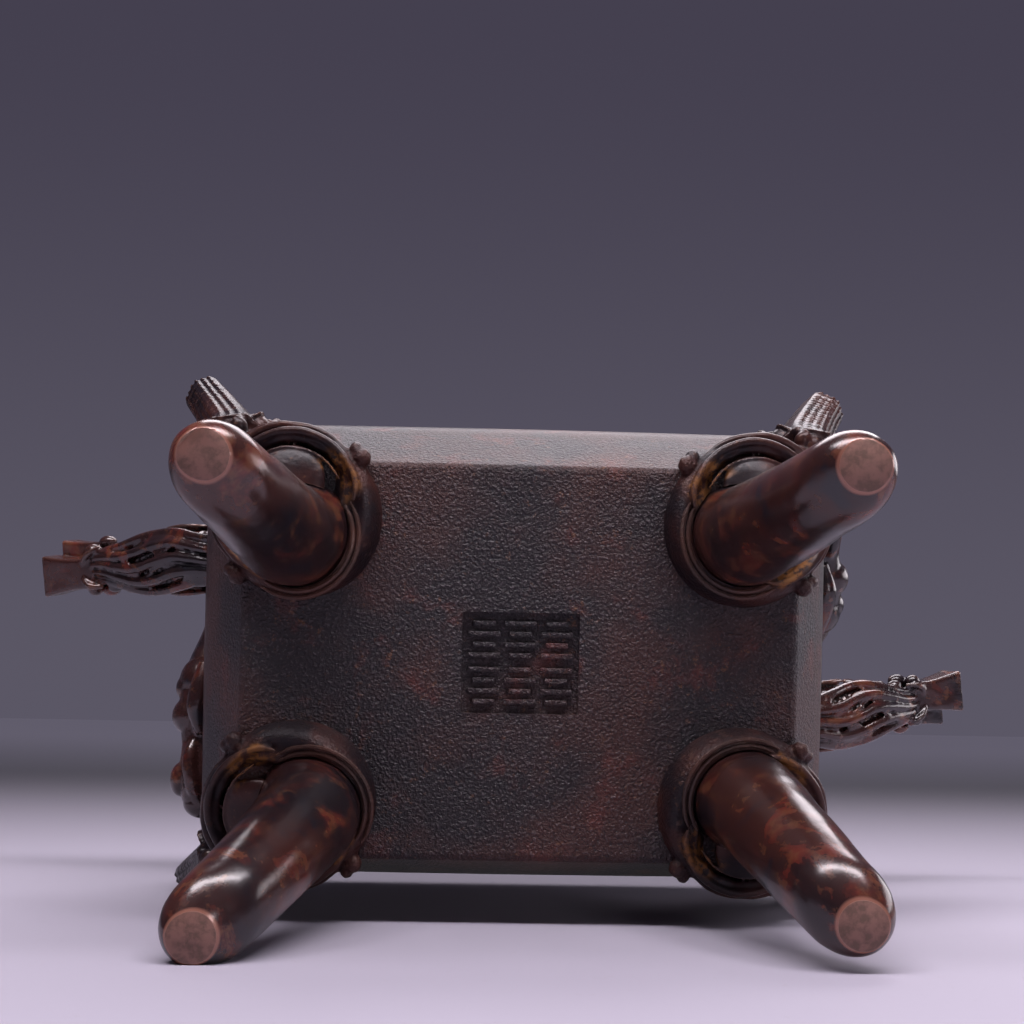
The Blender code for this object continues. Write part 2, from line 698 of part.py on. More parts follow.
def bump(share, middle, breadth):
    """A smooth hump from 0 to 1 round a share of the length."""
    return math.exp(-((share - middle) / breadth) ** 2)


def dragon_limb():
    """The curled body: a full haunch, a waist, a paw, and a roundel outside each joint."""
    points = smooth_path(limb_knots(), 3)
    last = len(points) - 1
    radii = []
    for index in range(last + 1):
        share = index / last
        girth = 1.0 + 0.42 * bump(share, 0.50, 0.12) + 0.08 * bump(share, 0.90, 0.08)
        girth -= 0.22 * bump(share, 0.72, 0.07)
        radii.append(LIMB_RADIUS * girth)
    pieces = [tube("body", points, radii, 10)]
    for number, share in enumerate((0.47, 0.86)):
        spot = points[round(share * last)] + Vector((LIMB_RADIUS * 0.95, 0.0, LIMB_RADIUS * 0.25))
        size = (ROUNDEL_RADIUS * 0.75, ROUNDEL_RADIUS, ROUNDEL_RADIUS)
        pieces.append(blob(f"roundel_{number}", spot, size, segments=10, rings=6))
    tail = smooth_path([points[6], points[6] + Vector((LIMB_RADIUS, -LIMB_RADIUS, LIMB_RADIUS * 1.6)),
                        points[8] + Vector((0.0, -LIMB_RADIUS * 1.5, LIMB_RADIUS * 2.9)),
                        points[10] + Vector((-LIMB_RADIUS * 0.6, -LIMB_RADIUS, LIMB_RADIUS * 3.4))], 3)
    pieces.append(tube("tail", tail, [LIMB_RADIUS * (0.62 - 0.035 * step) for step in range(len(tail))], 8))
    return pieces


def dragons(material):
    """Two dragon handles, each the other turned half round."""
    root = Vector((PLATE_LENGTH / 2 + BELLY_SPREAD_LENGTH - NECK_INSET, HANDLE_SIDE,
                   LEG_HEIGHT + HANDLE_ROOT_HEIGHT - math.sin(HANDLE_RISE) * HEAD_DEPTH * 0.2))
    place = (Matrix.Translation(root) @ Matrix.Rotation(HANDLE_TURN, 4, "Z")
             @ Matrix.Rotation(-HANDLE_RISE, 4, "Y"))
    pieces = dragon_head()
    for piece in pieces:
        piece.data.transform(place)
    head = cast_together("dragon", pieces + dragon_limb(), DRAGON_FACETS)
    half_turn = Matrix.Rotation(math.pi, 4, "Z")
    for number, turn in enumerate((Matrix.Identity(4), half_turn), start=1):
        handle = copy_of(head, f"dragon_handle_{number}", turn)
        complete(handle, material)
        keep_cut(handle, wall_block(f"wall_{number}", FIT_GAP))
    bpy.data.objects.remove(head)


def main():
    """Build the burner."""
    clear_scene()
    cast = finish("cast_copper", (0.045, 0.030, 0.034), 0.62, 0.75)
    burnished = finish("burnished_copper", (0.110, 0.045, 0.028), 0.32, 0.90)
    body = vessel(cast)
    legs(body, burnished)
    dragons(burnished)


main()
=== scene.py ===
"""Looks of the copper incense burner, built round its solids.

Lengths whose name ends in _mm are millimetres, and all others are metres. A corner's own
frame has its origin in the bottom plate at the mask, +X outward along the diagonal and
+Z up.
"""

import logging
import math
from dataclasses import dataclass, field
from enum import Enum
from typing import Callable, Iterator, Sequence

import bpy
from mathutils import Euler, Matrix, Vector


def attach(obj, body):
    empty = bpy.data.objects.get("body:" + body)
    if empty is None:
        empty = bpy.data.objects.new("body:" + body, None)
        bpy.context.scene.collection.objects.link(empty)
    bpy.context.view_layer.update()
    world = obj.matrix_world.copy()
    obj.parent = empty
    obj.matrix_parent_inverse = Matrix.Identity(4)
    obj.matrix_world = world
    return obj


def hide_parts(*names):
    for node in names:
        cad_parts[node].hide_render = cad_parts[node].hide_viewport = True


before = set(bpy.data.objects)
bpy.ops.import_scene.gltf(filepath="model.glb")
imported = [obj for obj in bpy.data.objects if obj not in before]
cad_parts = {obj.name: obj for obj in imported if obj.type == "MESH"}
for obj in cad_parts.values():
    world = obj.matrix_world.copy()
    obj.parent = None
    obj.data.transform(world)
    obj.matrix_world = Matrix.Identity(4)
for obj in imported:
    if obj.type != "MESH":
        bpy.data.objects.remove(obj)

LOG = logging.getLogger("burner")
MM = 0.001
Point = tuple[float, float, float]
Colour = tuple[float, float, float]


class Skin(Enum):
    """The kinds of surface that the casting shows."""

    SANDY = "sandy"
    CARVED = "carved"
    BURNISHED = "burnished"


class Socket:
    """One output of a shader node, with Python's arithmetic on it."""

    def __init__(self, graph: "Graph", link: bpy.types.NodeSocket) -> None:
        """Keep the graph and the node's output."""
        self.graph = graph
        self.link = link

    def _calc(self, operation: str, *values: "Socket | float") -> "Socket":
        """Add one Math node and return its result."""
        return self.graph.node("ShaderNodeMath", {"operation": operation}, dict(enumerate(values)))

    def __add__(self, other: "Socket | float") -> "Socket":
        """Sum."""
        return self._calc("ADD", self, other)

    __radd__ = __add__

    def __sub__(self, other: "Socket | float") -> "Socket":
        """Difference."""
        return self._calc("SUBTRACT", self, other)

    def __rsub__(self, other: float) -> "Socket":
        """Difference from a number."""
        return self._calc("SUBTRACT", other, self)

    def __mul__(self, other: "Socket | float") -> "Socket":
        """Product."""
        return self._calc("MULTIPLY", self, other)

    __rmul__ = __mul__

    def __abs__(self) -> "Socket":
        """Size without sign."""
        return self._calc("ABSOLUTE", self)

    def __pow__(self, power: float) -> "Socket":
        """Power."""
        return self._calc("POWER", self, power)

    def ramp(self, low: float, high: float) -> "Socket":
        """A smooth step from 0 to 1 between two values.

        Args:
            low: the value that gives 0.
            high: the value that gives 1; below low, the step falls.

        Returns:
            The step, clamped.
        """
        first, last = min(low, high), max(low, high)
        step = self.graph.node("ShaderNodeMapRange", {"interpolation_type": "SMOOTHSTEP"},
                               {0: self, 1: first, 2: last, 3: 0.0, 4: 1.0})
        return 1.0 - step if high < low else step


class Graph:
    """A material and the nodes that make its finish."""

    def __init__(self, name: str) -> None:
        """Start an empty material of that name."""
        self.material = bpy.data.materials.new(name)
        self.material.use_nodes = True
        self.tree = self.material.node_tree
        self.tree.nodes.clear()
        self.place = self.node("ShaderNodeTexCoord", output="Object")

    def node(self, kind: str, settings: dict | None = None, values: dict | None = None,
             output: int | str = 0) -> Socket:
        """Add any node.

        Args:
            kind: the node's type.
            settings: its own settings, set first.
            values: numbers, colours or links of its inputs, by index or name.
            output: the output to return.

        Returns:
            That output.
        """
        made = self.tree.nodes.new(kind)
        for key, value in (settings or {}).items():
            setattr(made, key, value)
        for key, value in (values or {}).items():
            if isinstance(value, Socket):
                self.tree.links.new(value.link, made.inputs[key])
            else:
                made.inputs[key].default_value = value
        return Socket(self, made.outputs[output])

    def blend(self, share: Socket | float, first: Socket | Colour, second: Socket | Colour) -> Socket:
        """Mix two colours by a share of the second."""
        first, second = [value if isinstance(value, Socket) else (*value, 1.0) for value in (first, second)]
        return self.node("ShaderNodeMix", {"data_type": "RGBA"}, {0: share, 6: first, 7: second}, output=2)

    def noise(self, size_mm: float, detail: float = 3.0, rough: float = 0.55, twist: float = 0.0,
              shift: float = 0.0) -> Socket:
        """Noise whose blotches are about that many millimetres across."""
        place = self.node("ShaderNodeMapping", values={0: self.place, 1: (shift, shift * 0.7, -shift)})
        return self.node("ShaderNodeTexNoise", values={"Vector": place, "Scale": 0.6 / (size_mm * MM),
                                                      "Detail": detail, "Roughness": rough,
                                                      "Distortion": twist})

    def cells(self, size_mm: float) -> Socket:
        """Distance to the nearest of many scattered grains."""
        return self.node("ShaderNodeTexVoronoi", values={"Vector": self.place, "Scale": 1.0 / (size_mm * MM)})

    def axis(self, index: int) -> Socket:
        """One coordinate in the object's own frame."""
        return self.node("ShaderNodeSeparateXYZ", values={0: self.place}, output=index)

    def edges(self, low: float, high: float) -> Socket:
        """Where the surface is a ridge, or with low over high a hollow."""
        return self.node("ShaderNodeNewGeometry", output="Pointiness").ramp(low, high)

    def bumps(self, layers: Sequence[tuple[Socket, float]]) -> Socket:
        """Stack heights, each with its depth in millimetres, into one normal."""
        values: dict = {}
        for height, depth_mm in layers:
            made = self.node("ShaderNodeBump", values={**values, "Height": height, "Distance": depth_mm * MM,
                                                       "Strength": 1.0})
            values = {"Normal": made}
        return values["Normal"]

    def finish(self, shader: Socket) -> bpy.types.Material:
        """Link a shader to the output and return the material."""
        out = self.tree.nodes.new("ShaderNodeOutputMaterial")
        self.tree.links.new(shader.link, out.inputs["Surface"])
        return self.material

    def principled(self, **values: object) -> Socket:
        """A Principled shader; underscores in the names of its inputs stand for spaces."""
        return self.node("ShaderNodeBsdfPrincipled",
                         values={name.replace("_", " "): value for name, value in values.items()})

    def only_from_front(self, shader: Socket) -> bpy.types.Material:
        """Finish a material that can be seen through from its back."""
        back = self.node("ShaderNodeNewGeometry", output="Backfacing")
        clear = self.node("ShaderNodeBsdfTransparent")
        return self.finish(self.node("ShaderNodeMixShader", values={0: back, 1: shader, 2: clear}))


@dataclass(frozen=True)
class Patina:
    """The finish of old cast copper: a dark skin, warm blotches, dirt and wear."""

    name: str
    skin: Skin
    dark: Colour = (0.0125, 0.0078, 0.0105)
    warm: Colour = (0.046, 0.0145, 0.0120)
    red: Colour = (0.135, 0.023, 0.015)
    rust: Colour = (0.135, 0.056, 0.026)
    blue: Colour = (0.0105, 0.0115, 0.018)
    black: Colour = (0.005, 0.003, 0.004)
    pale: Colour = (0.105, 0.082, 0.094)
    bare: Colour = (0.250, 0.140, 0.105)
    dirt: Colour = (0.200, 0.080, 0.020)
    corner_x: float = 0.041
    corner_y: float = 0.0265
    plate_z: float = 0.048

    def material(self) -> bpy.types.Material:
        """Build the finish."""
        graph = Graph(self.name)
        if self.skin is Skin.SANDY:
            return self._sandy(graph)
        if self.skin is Skin.CARVED:
            return self._carved(graph)
        return self._burnished(graph)

    def _sandy(self, graph: Graph) -> bpy.types.Material:
        """The bowl: fine cast grain and rust specks, with a rubbed, smoother skin above the belly."""
        clouds = graph.noise(16.0, 4.0)
        patches = graph.noise(6.0, 5.0, 0.62, 0.3, 0.31)
        specks = graph.noise(0.7, 3.0, 0.7, 0.0, 0.13)
        grain = graph.noise(0.34, 2.0, 0.6, 0.0, 0.07)
        colour = graph.blend(clouds.ramp(0.42, 0.64), self.dark, self.warm)
        colour = graph.blend(patches.ramp(0.54, 0.72) * 0.5, colour, self.red)
        colour = graph.blend(specks.ramp(0.58, 0.70) * patches.ramp(0.40, 0.62) * 0.8, colour, self.rust)
        colour = graph.blend(grain.ramp(0.54, 0.68) * 0.45, colour, self.pale)
        colour = graph.blend(grain.ramp(0.44, 0.34) * 0.6, colour, self.blue)
        rubbed = graph.axis(2).ramp(self.plate_z + 0.018, self.plate_z + 0.028)
        keep = 1.0 - rubbed * 0.85
        rough = 0.46 - rubbed * 0.18 + clouds * 0.10
        normal = graph.bumps([(graph.noise(7.0, 3.0), 0.30), (grain * keep, 0.60),
                              (graph.cells(0.8) * keep, 0.10)])
        return graph.finish(graph.principled(Base_Color=colour, Roughness=rough, Metallic=0.12,
                                             Specular_IOR_Level=0.45, Normal=normal))

    def _carved(self, graph: Graph) -> bpy.types.Material:
        """Masks and crests: dark brown, rubbed ridges, near black in the hollows, corrosion in the mouths."""
        out_x = abs(graph.axis(0)) - self.corner_x
        out_y = abs(graph.axis(1)) - self.corner_y
        reach = (out_x * out_x + out_y * out_y) ** 0.5
        outward = (out_x + out_y) * math.sqrt(0.5)
        clouds = graph.noise(6.0, 4.0)
        fine = graph.noise(0.5, 3.0, 0.65, 0.0, 0.19)
        hollow = graph.edges(0.490, 0.450)
        ridge = graph.edges(0.512, 0.555)
        colour = graph.blend(clouds.ramp(0.38, 0.66), self.dark, self.warm)
        colour = graph.blend(fine.ramp(0.60, 0.74) * 0.45, colour, self.rust)
        colour = graph.blend(hollow * 0.8, colour, self.black)
        mouth = reach.ramp(0.0136, 0.0126) * reach.ramp(0.0086, 0.0096) * outward.ramp(-0.0065, -0.0035)
        mouth = mouth * outward.ramp(0.0050, 0.0015)
        spread = graph.noise(1.2, 4.0, 0.7, 0.0, 0.4).ramp(0.42, 0.58)
        colour = graph.blend(mouth * spread * 0.9, colour, self.dirt)
        colour = graph.blend(ridge * 0.15, colour, self.bare)
        band = reach.ramp(0.0118, 0.0130) * outward.ramp(0.004, -0.001)
        rough = 0.34 + hollow * 0.25 - ridge * 0.08 + mouth * 0.3 + band * 0.12
        normal = graph.bumps([(graph.noise(2.6, 3.0), 0.10), (fine, 0.05),
                              (graph.noise(0.34, 2.0, 0.6, 0.0, 0.07) * band, 0.24)])
        return graph.finish(graph.principled(Base_Color=colour, Roughness=rough, Metallic=0.15,
                                             Specular_IOR_Level=0.25, Normal=normal))

    def _burnished(self, graph: Graph) -> bpy.types.Material:
        """Legs and dragons: glossy, mottled red, orange and blue-black, with bare worn feet."""
        z = graph.axis(2)
        broad = graph.noise(15.0, 3.0, 0.5, 0.4, 0.11)
        blots = graph.noise(6.0, 4.0, 0.62, 0.7, 0.23)
        small = graph.noise(1.5, 4.0, 0.65, 0.2, 0.37)
        hollow = graph.edges(0.490, 0.445)
        ridge = graph.edges(0.516, 0.570)
        colour = graph.blend(broad.ramp(0.38, 0.62), self.dark, self.warm)
        colour = graph.blend(blots.ramp(0.50, 0.68) * 0.85, colour, self.red)
        colour = graph.blend((blots * small).ramp(0.26, 0.38) * 0.55, colour, self.rust)
        colour = graph.blend(blots.ramp(0.42, 0.30) * 0.85, colour, self.blue)
        colour = graph.blend(hollow * 0.85, colour, self.black)
        colour = graph.blend(ridge * 0.35, colour, self.bare)
        foot = z.ramp(0.00014, 0.00004)
        worn = graph.blend(small.ramp(0.40, 0.62), (0.215, 0.098, 0.074), (0.120, 0.058, 0.040))
        colour = graph.blend(z.ramp(0.00050, 0.00020), colour, (0.280, 0.120, 0.085))
        colour = graph.blend(foot, colour, worn)
        rough = 0.17 + small * 0.14 + hollow * 0.2 + foot * 0.35
        normal = graph.bumps([(graph.noise(6.0, 2.0, 0.5, 0.0, 0.5), 0.22), (graph.noise(0.8, 3.0), 0.03)])
        return graph.finish(graph.principled(Base_Color=colour, Roughness=rough, Metallic=0.15,
                                             Specular_IOR_Level=0.75, Normal=normal))


def spot(x_mm: float, y_mm: float, z_mm: float) -> Vector:
    """A point given in millimetres."""
    return Vector((x_mm, y_mm, z_mm)) * MM


def ring_spot(angle: float, radius_mm: float, z_mm: float, side: int = 1) -> Vector:
    """A point round the corner's frame, at degrees from outward, on one side."""
    turn = math.radians(angle)
    return spot(radius_mm * math.cos(turn), side * radius_mm * math.sin(turn), z_mm)


def only(piece: bpy.types.Object) -> bpy.types.Object:
    """Select one object alone and make it active."""
    if bpy.context.object and bpy.context.object.mode != "OBJECT":
        bpy.ops.object.mode_set(mode="OBJECT")
    bpy.ops.object.select_all(action="DESELECT")
    piece.select_set(True)
    bpy.context.view_layer.objects.active = piece
    return piece


def apply_modifier(piece: bpy.types.Object, kind: str, **settings: object) -> None:
    """Add one modifier with its settings and apply it."""
    only(piece)
    modifier = piece.modifiers.new(kind.title(), kind)
    for key, value in settings.items():
        setattr(modifier, key, value)
    bpy.ops.object.modifier_apply(modifier=modifier.name)


def settle(piece: bpy.types.Object) -> bpy.types.Object:
    """Put an object's place into its mesh."""
    only(piece)
    bpy.ops.object.transform_apply(location=True, rotation=True, scale=True)
    return piece


def join(parts: Sequence[bpy.types.Object]) -> bpy.types.Object:
    """Join objects into the first one."""
    only(parts[0])
    for part in parts:
        part.select_set(True)
    bpy.ops.object.join()
    return bpy.context.object


def sweep(name: str, knots: Sequence[Vector], radii_mm: Sequence[float], sides: int = 10,
          steps: int = 5) -> bpy.types.Object:
    """A round bar with flat ends along a smooth path.

    Args:
        name: the bar's name.
        knots: the points that it goes through.
        radii_mm: its radius at each of them.
        sides: how many sides it has, even.
        steps: how many steps there are between two knots.

    Returns:
        The bar as a closed mesh.
    """
    data = bpy.data.curves.new(name, "CURVE")
    data.dimensions = "3D"
    data.bevel_depth = MM
    data.bevel_resolution = max(1, sides // 2 - 2)
    data.resolution_u = steps
    data.use_fill_caps = True
    spline = data.splines.new("BEZIER")
    spline.bezier_points.add(len(knots) - 1)
    for knot, point, radius in zip(spline.bezier_points, knots, radii_mm):
        knot.co = point
        knot.radius = radius
        knot.handle_left_type = "AUTO"
        knot.handle_right_type = "AUTO"
    bar = bpy.data.objects.new(name, data)
    bpy.context.scene.collection.objects.link(bar)
    only(bar)
    bpy.ops.object.convert(target="MESH")
    return bpy.context.object


def loft(rings: Sequence[tuple[Vector, Euler, tuple[float, float]]], sides: int) -> bpy.types.Object:
    """A bar with flat ends, skinned over rings.

    Args:
        rings: each ring's middle, rotation and two half sizes in millimetres.
        sides: how many corners a ring has, one of them on its own +X.

    Returns:
        The bar as a closed mesh.
    """
    hoops = []
    for middle, turn, (deep, wide) in rings:
        bpy.ops.mesh.primitive_circle_add(vertices=sides, radius=MM, rotation=(0.0, 0.0, math.pi / 2))
        hoop = settle(bpy.context.object)
        hoop.location = middle
        hoop.rotation_euler = turn
        hoop.scale = (deep, wide, 1.0)
        hoops.append(settle(hoop))
    bar = join(hoops)
    bpy.ops.object.mode_set(mode="EDIT")
    bpy.ops.mesh.select_all(action="SELECT")
    bpy.ops.mesh.bridge_edge_loops()
    bpy.ops.mesh.select_all(action="SELECT")
    bpy.ops.mesh.fill_holes(sides=sides)
    bpy.ops.mesh.normals_make_consistent(inside=False)
    bpy.ops.object.mode_set(mode="OBJECT")
    return bar


@dataclass
class Clay:
    """Lumps and locks that are pressed together into one casting."""

    name: str
    grain_mm: float = 0.24
    parts: list[bpy.types.Object] = field(default_factory=list)

    def ball(self, centre: Vector, radii_mm: Sequence[float], turn: Sequence[float] = (0.0, 0.0, 0.0),
             segments: int = 20) -> bpy.types.Object:
        """A rounded lump.

        Args:
            centre: its middle.
            radii_mm: its three half sizes.
            turn: its rotation in degrees.
            segments: how many sides it has.

        Returns:
            The lump.
        """
        bpy.ops.mesh.primitive_uv_sphere_add(segments=segments, ring_count=max(6, segments * 2 // 3), radius=MM,
                                             location=centre, rotation=[math.radians(part) for part in turn],
                                             scale=radii_mm)
        self.parts.append(bpy.context.object)
        return self.parts[-1]

    def lock(self, knots: Sequence[Vector], radii_mm: Sequence[float], sides: int = 10) -> None:
        """A round bar along a smooth path, such as a lip or a lock of hair."""
        self.parts.append(sweep(self.name + "_lock", knots, radii_mm, sides))

    def hoop(self, centre: Vector, radius_mm: float, thick_mm: float, tilt: float) -> None:
        """A thin round ring, its outward side raised by that many degrees."""
        bpy.ops.mesh.primitive_torus_add(location=centre, rotation=(0.0, math.radians(-tilt), 0.0),
                                         major_segments=40, minor_segments=8, major_radius=radius_mm * MM,
                                         minor_radius=thick_mm * MM)
        self.parts.append(bpy.context.object)

    def turned(self, profile_mm: Sequence[tuple[float, float]], tilt: float, place: Vector,
               steps: int = 72) -> None:
        """A ring turned from a closed profile of radius and height, then tilted.

        Args:
            profile_mm: the outline's points.
            tilt: degrees that its outward side is raised.
            place: where its middle goes.
            steps: how many steps it is spun in.
        """
        radius, height = profile_mm[0]
        bpy.ops.mesh.primitive_plane_add(size=MM, location=(0.0, 0.0, 0.0))
        ring = only(bpy.context.object)
        bpy.ops.object.mode_set(mode="EDIT")
        bpy.ops.mesh.merge(type="CENTER")
        bpy.ops.transform.translate(value=(radius * MM, 0.0, height * MM))
        for (here_r, here_z), (next_r, next_z) in zip(profile_mm, [*profile_mm[1:], profile_mm[0]]):
            step = ((next_r - here_r) * MM, 0.0, (next_z - here_z) * MM)
            bpy.ops.mesh.extrude_region_move(TRANSFORM_OT_translate={"value": step})
        bpy.ops.mesh.select_all(action="SELECT")
        bpy.ops.mesh.spin(steps=steps, angle=2 * math.pi, center=(0.0, 0.0, 0.0), axis=(0.0, 0.0, 1.0))
        bpy.ops.mesh.select_all(action="SELECT")
        bpy.ops.mesh.remove_doubles(threshold=1e-6)
        bpy.ops.mesh.normals_make_consistent(inside=False)
        bpy.ops.object.mode_set(mode="OBJECT")
        ring.rotation_euler = (0.0, math.radians(-tilt), 0.0)
        ring.location = place
        self.parts.append(ring)

    def grains(self, places: Sequence[tuple[Vector, Euler]], radii_mm: Sequence[float]) -> None:
        """Many small strokes: one lump modelled once and copied to each place."""
        model = settle(self.ball(Vector((0.0, 0.0, 0.0)), radii_mm, segments=8))
        self.parts.remove(model)
        for centre, turn in places:
            copy = bpy.data.objects.new(model.name, model.data.copy())
            copy.location = centre
            copy.rotation_euler = turn
            bpy.context.scene.collection.objects.link(copy)
            self.parts.append(copy)
        bpy.data.objects.remove(model)

    def press(self, smoothing: int = 4) -> bpy.types.Object:
        """Join all parts into one skin.

        Args:
            smoothing: how many times the skin is smoothed.

        Returns:
            The skin, at the origin, and the only part left.
        """
        body = settle(join(self.parts))
        voxel = self.grain_mm * 1.0
        apply_modifier(body, "REMESH", mode="VOXEL", voxel_size=voxel * MM)
        if smoothing:
            apply_modifier(body, "SMOOTH", factor=0.5, iterations=smoothing)
        body.name = self.name
        self.parts = [body]
        return body


def cut(body: bpy.types.Object, tool: bpy.types.Object, solver: str = "MANIFOLD") -> None:
    """Take one closed shape out of another and drop it."""
    settle(tool)
    apply_modifier(body, "BOOLEAN", operation="DIFFERENCE", solver=solver, object=tool)
    bpy.data.objects.remove(tool)


def roughen(piece: bpy.types.Object, size_mm: float, depth_mm: float) -> None:
    """Move a dense skin in and out by soft noise, as hand work leaves it."""
    texture = bpy.data.textures.new(piece.name + "_hand", "CLOUDS")
    texture.noise_scale = size_mm * MM
    texture.noise_depth = 2
    apply_modifier(piece, "DISPLACE", texture=texture, texture_coords="LOCAL", strength=depth_mm * MM,
                   mid_level=0.5)


def trim(piece: bpy.types.Object) -> None:
    """Cut off what lies below the ground and close the cut."""
    only(piece)
    bpy.ops.object.mode_set(mode="EDIT")
    bpy.ops.mesh.select_all(action="SELECT")
    bpy.ops.mesh.bisect(plane_co=(0.0, 0.0, 0.0), plane_no=(0.0, 0.0, 1.0), use_fill=True, clear_inner=True)
    bpy.ops.object.mode_set(mode="OBJECT")


def copy_to(model: bpy.types.Object, name: str, place: Matrix) -> bpy.types.Object:
    """A copy of a model with its own mesh, moved by a matrix."""
    copy = bpy.data.objects.new(name, model.data.copy())
    copy.data.name = name
    copy.data.transform(place)
    bpy.context.scene.collection.objects.link(copy)
    return copy


def dress(piece: bpy.types.Object, material: bpy.types.Material, slot: str, *nodes: str) -> None:
    """Give a piece its finish, its body and the nodes that it stands for.

    Args:
        piece: the finished mesh.
        material: its finish.
        slot: not used.
        nodes: the CAD nodes that it replaces.
    """
    piece.data.materials.clear()
    piece.data.materials.append(material)
    only(piece)
    bpy.ops.object.shade_smooth_by_angle(angle=math.radians(42.0))
    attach(piece, "root")
    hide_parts(*nodes)
    LOG.info("%s: %d faces", piece.name, len(piece.data.polygons))


@dataclass(frozen=True)
class Stance:
    """One corner: its signs, and how far outward its leg strays at the root and the foot, along X and Y."""

    number: int
    side_x: int
    side_y: int
    root_mm: tuple[float, float]
    foot_mm: tuple[float, float]

    def place(self) -> Matrix:
        """The corner's frame."""
        turn = Matrix.Rotation(math.atan2(self.side_y, self.side_x), 4, "Z")
        return Matrix.Translation((self.side_x * 0.041, self.side_y * 0.0265, 0.048)) @ turn


STANCES = (Stance(1, 1, 1, (1.1, -3.4), (0.1, -1.6)), Stance(2, -1, 1, (-0.4, -1.3), (-0.2, -0.9)),
           Stance(3, -1, -1, (1.5, -1.9), (1.0, -1.1)), Stance(4, 1, -1, (-3.2, 1.5), (0.3, 2.2)))


@dataclass
class Leg:
    """A thick leg that comes straight out of the mask's mouth and sweeps outward to a worn foot."""

    height_mm: float = 48.0
    socket_mm: float = 3.5
    set_back_mm: float = 2.6
    splay_mm: float = 14.1
    bend: float = 1.5
    root_radius_mm: float = 9.3
    foot_radius_mm: float = 6.9
    flat_radius_mm: float = 3.9
    below_mm: float = 0.6
    hold_mm: float = 8.0
    hold: float = 0.4
    foot_steps: int = 12
    shank_steps: int = 40
    sides: int = 56

    def middle(self, height_mm: float, stance: Stance) -> Vector:
        """The leg's middle line in the world; near the plate it strays less."""
        share = max(0.0, 1 - height_mm / self.height_mm) ** self.bend
        reach = (self.splay_mm + self.set_back_mm) * share - self.set_back_mm
        loose = 1 - self.hold * min(1.0, max(0.0, height_mm - self.height_mm + self.hold_mm) / self.hold_mm)
        stray = [(root + (foot - root) * share) * loose for root, foot in zip(stance.root_mm, stance.foot_mm)]
        point = stance.place() @ spot(reach, 0.0, height_mm - self.height_mm)
        return point + spot(stance.side_x * stray[0], stance.side_y * stray[1], 0.0)

    def radius(self, height_mm: float) -> float:
        """The leg's radius in millimetres."""
        share = min(1.0, max(0.0, height_mm / self.height_mm))
        body = self.foot_radius_mm + (self.root_radius_mm - self.foot_radius_mm) * share
        drop = math.sqrt(self.foot_radius_mm ** 2 - self.flat_radius_mm ** 2) - height_mm
        return body if drop <= 0 else body * math.sqrt(1 - (drop / self.foot_radius_mm) ** 2)

    def model(self, stance: Stance, grow_mm: float = 0.0) -> bpy.types.Object:
        """One leg, worn flat under the foot.

        Args:
            stance: its corner.
            grow_mm: how much thicker it is, for the socket's cutter.

        Returns:
            The leg in the world.
        """
        low = self.foot_radius_mm
        top = self.height_mm + self.socket_mm + grow_mm
        foot = [low * (step / self.foot_steps) ** 1.6 for step in range(1, self.foot_steps + 1)]
        shank = [low + (top - low) * step / self.shank_steps for step in range(1, self.shank_steps + 1)]
        rings = []
        for height in (-self.below_mm, *foot, *shank):
            lean = self.middle(height + 0.5, stance) - self.middle(height - 0.5, stance)
            size = self.radius(height) + grow_mm
            stretch = 1 + (lean.length / lean.z - 1) * min(1.0, max(0.0, height) / low)
            rings.append((self.middle(height, stance), Euler((0.0, 0.0, math.atan2(lean.y, lean.x))),
                          (size * stretch, size)))
        leg = loft(rings, self.sides)
        leg.name = f"leg_{stance.number}_burnished"
        if not grow_mm:
            roughen(leg, 9.0, 0.5)
        trim(leg)
        return leg

    def build(self, finish: bpy.types.Material) -> None:
        """Make the four legs."""
        for stance in STANCES:
            dress(self.model(stance), finish, "burnished_copper", f"leg_{stance.number}")


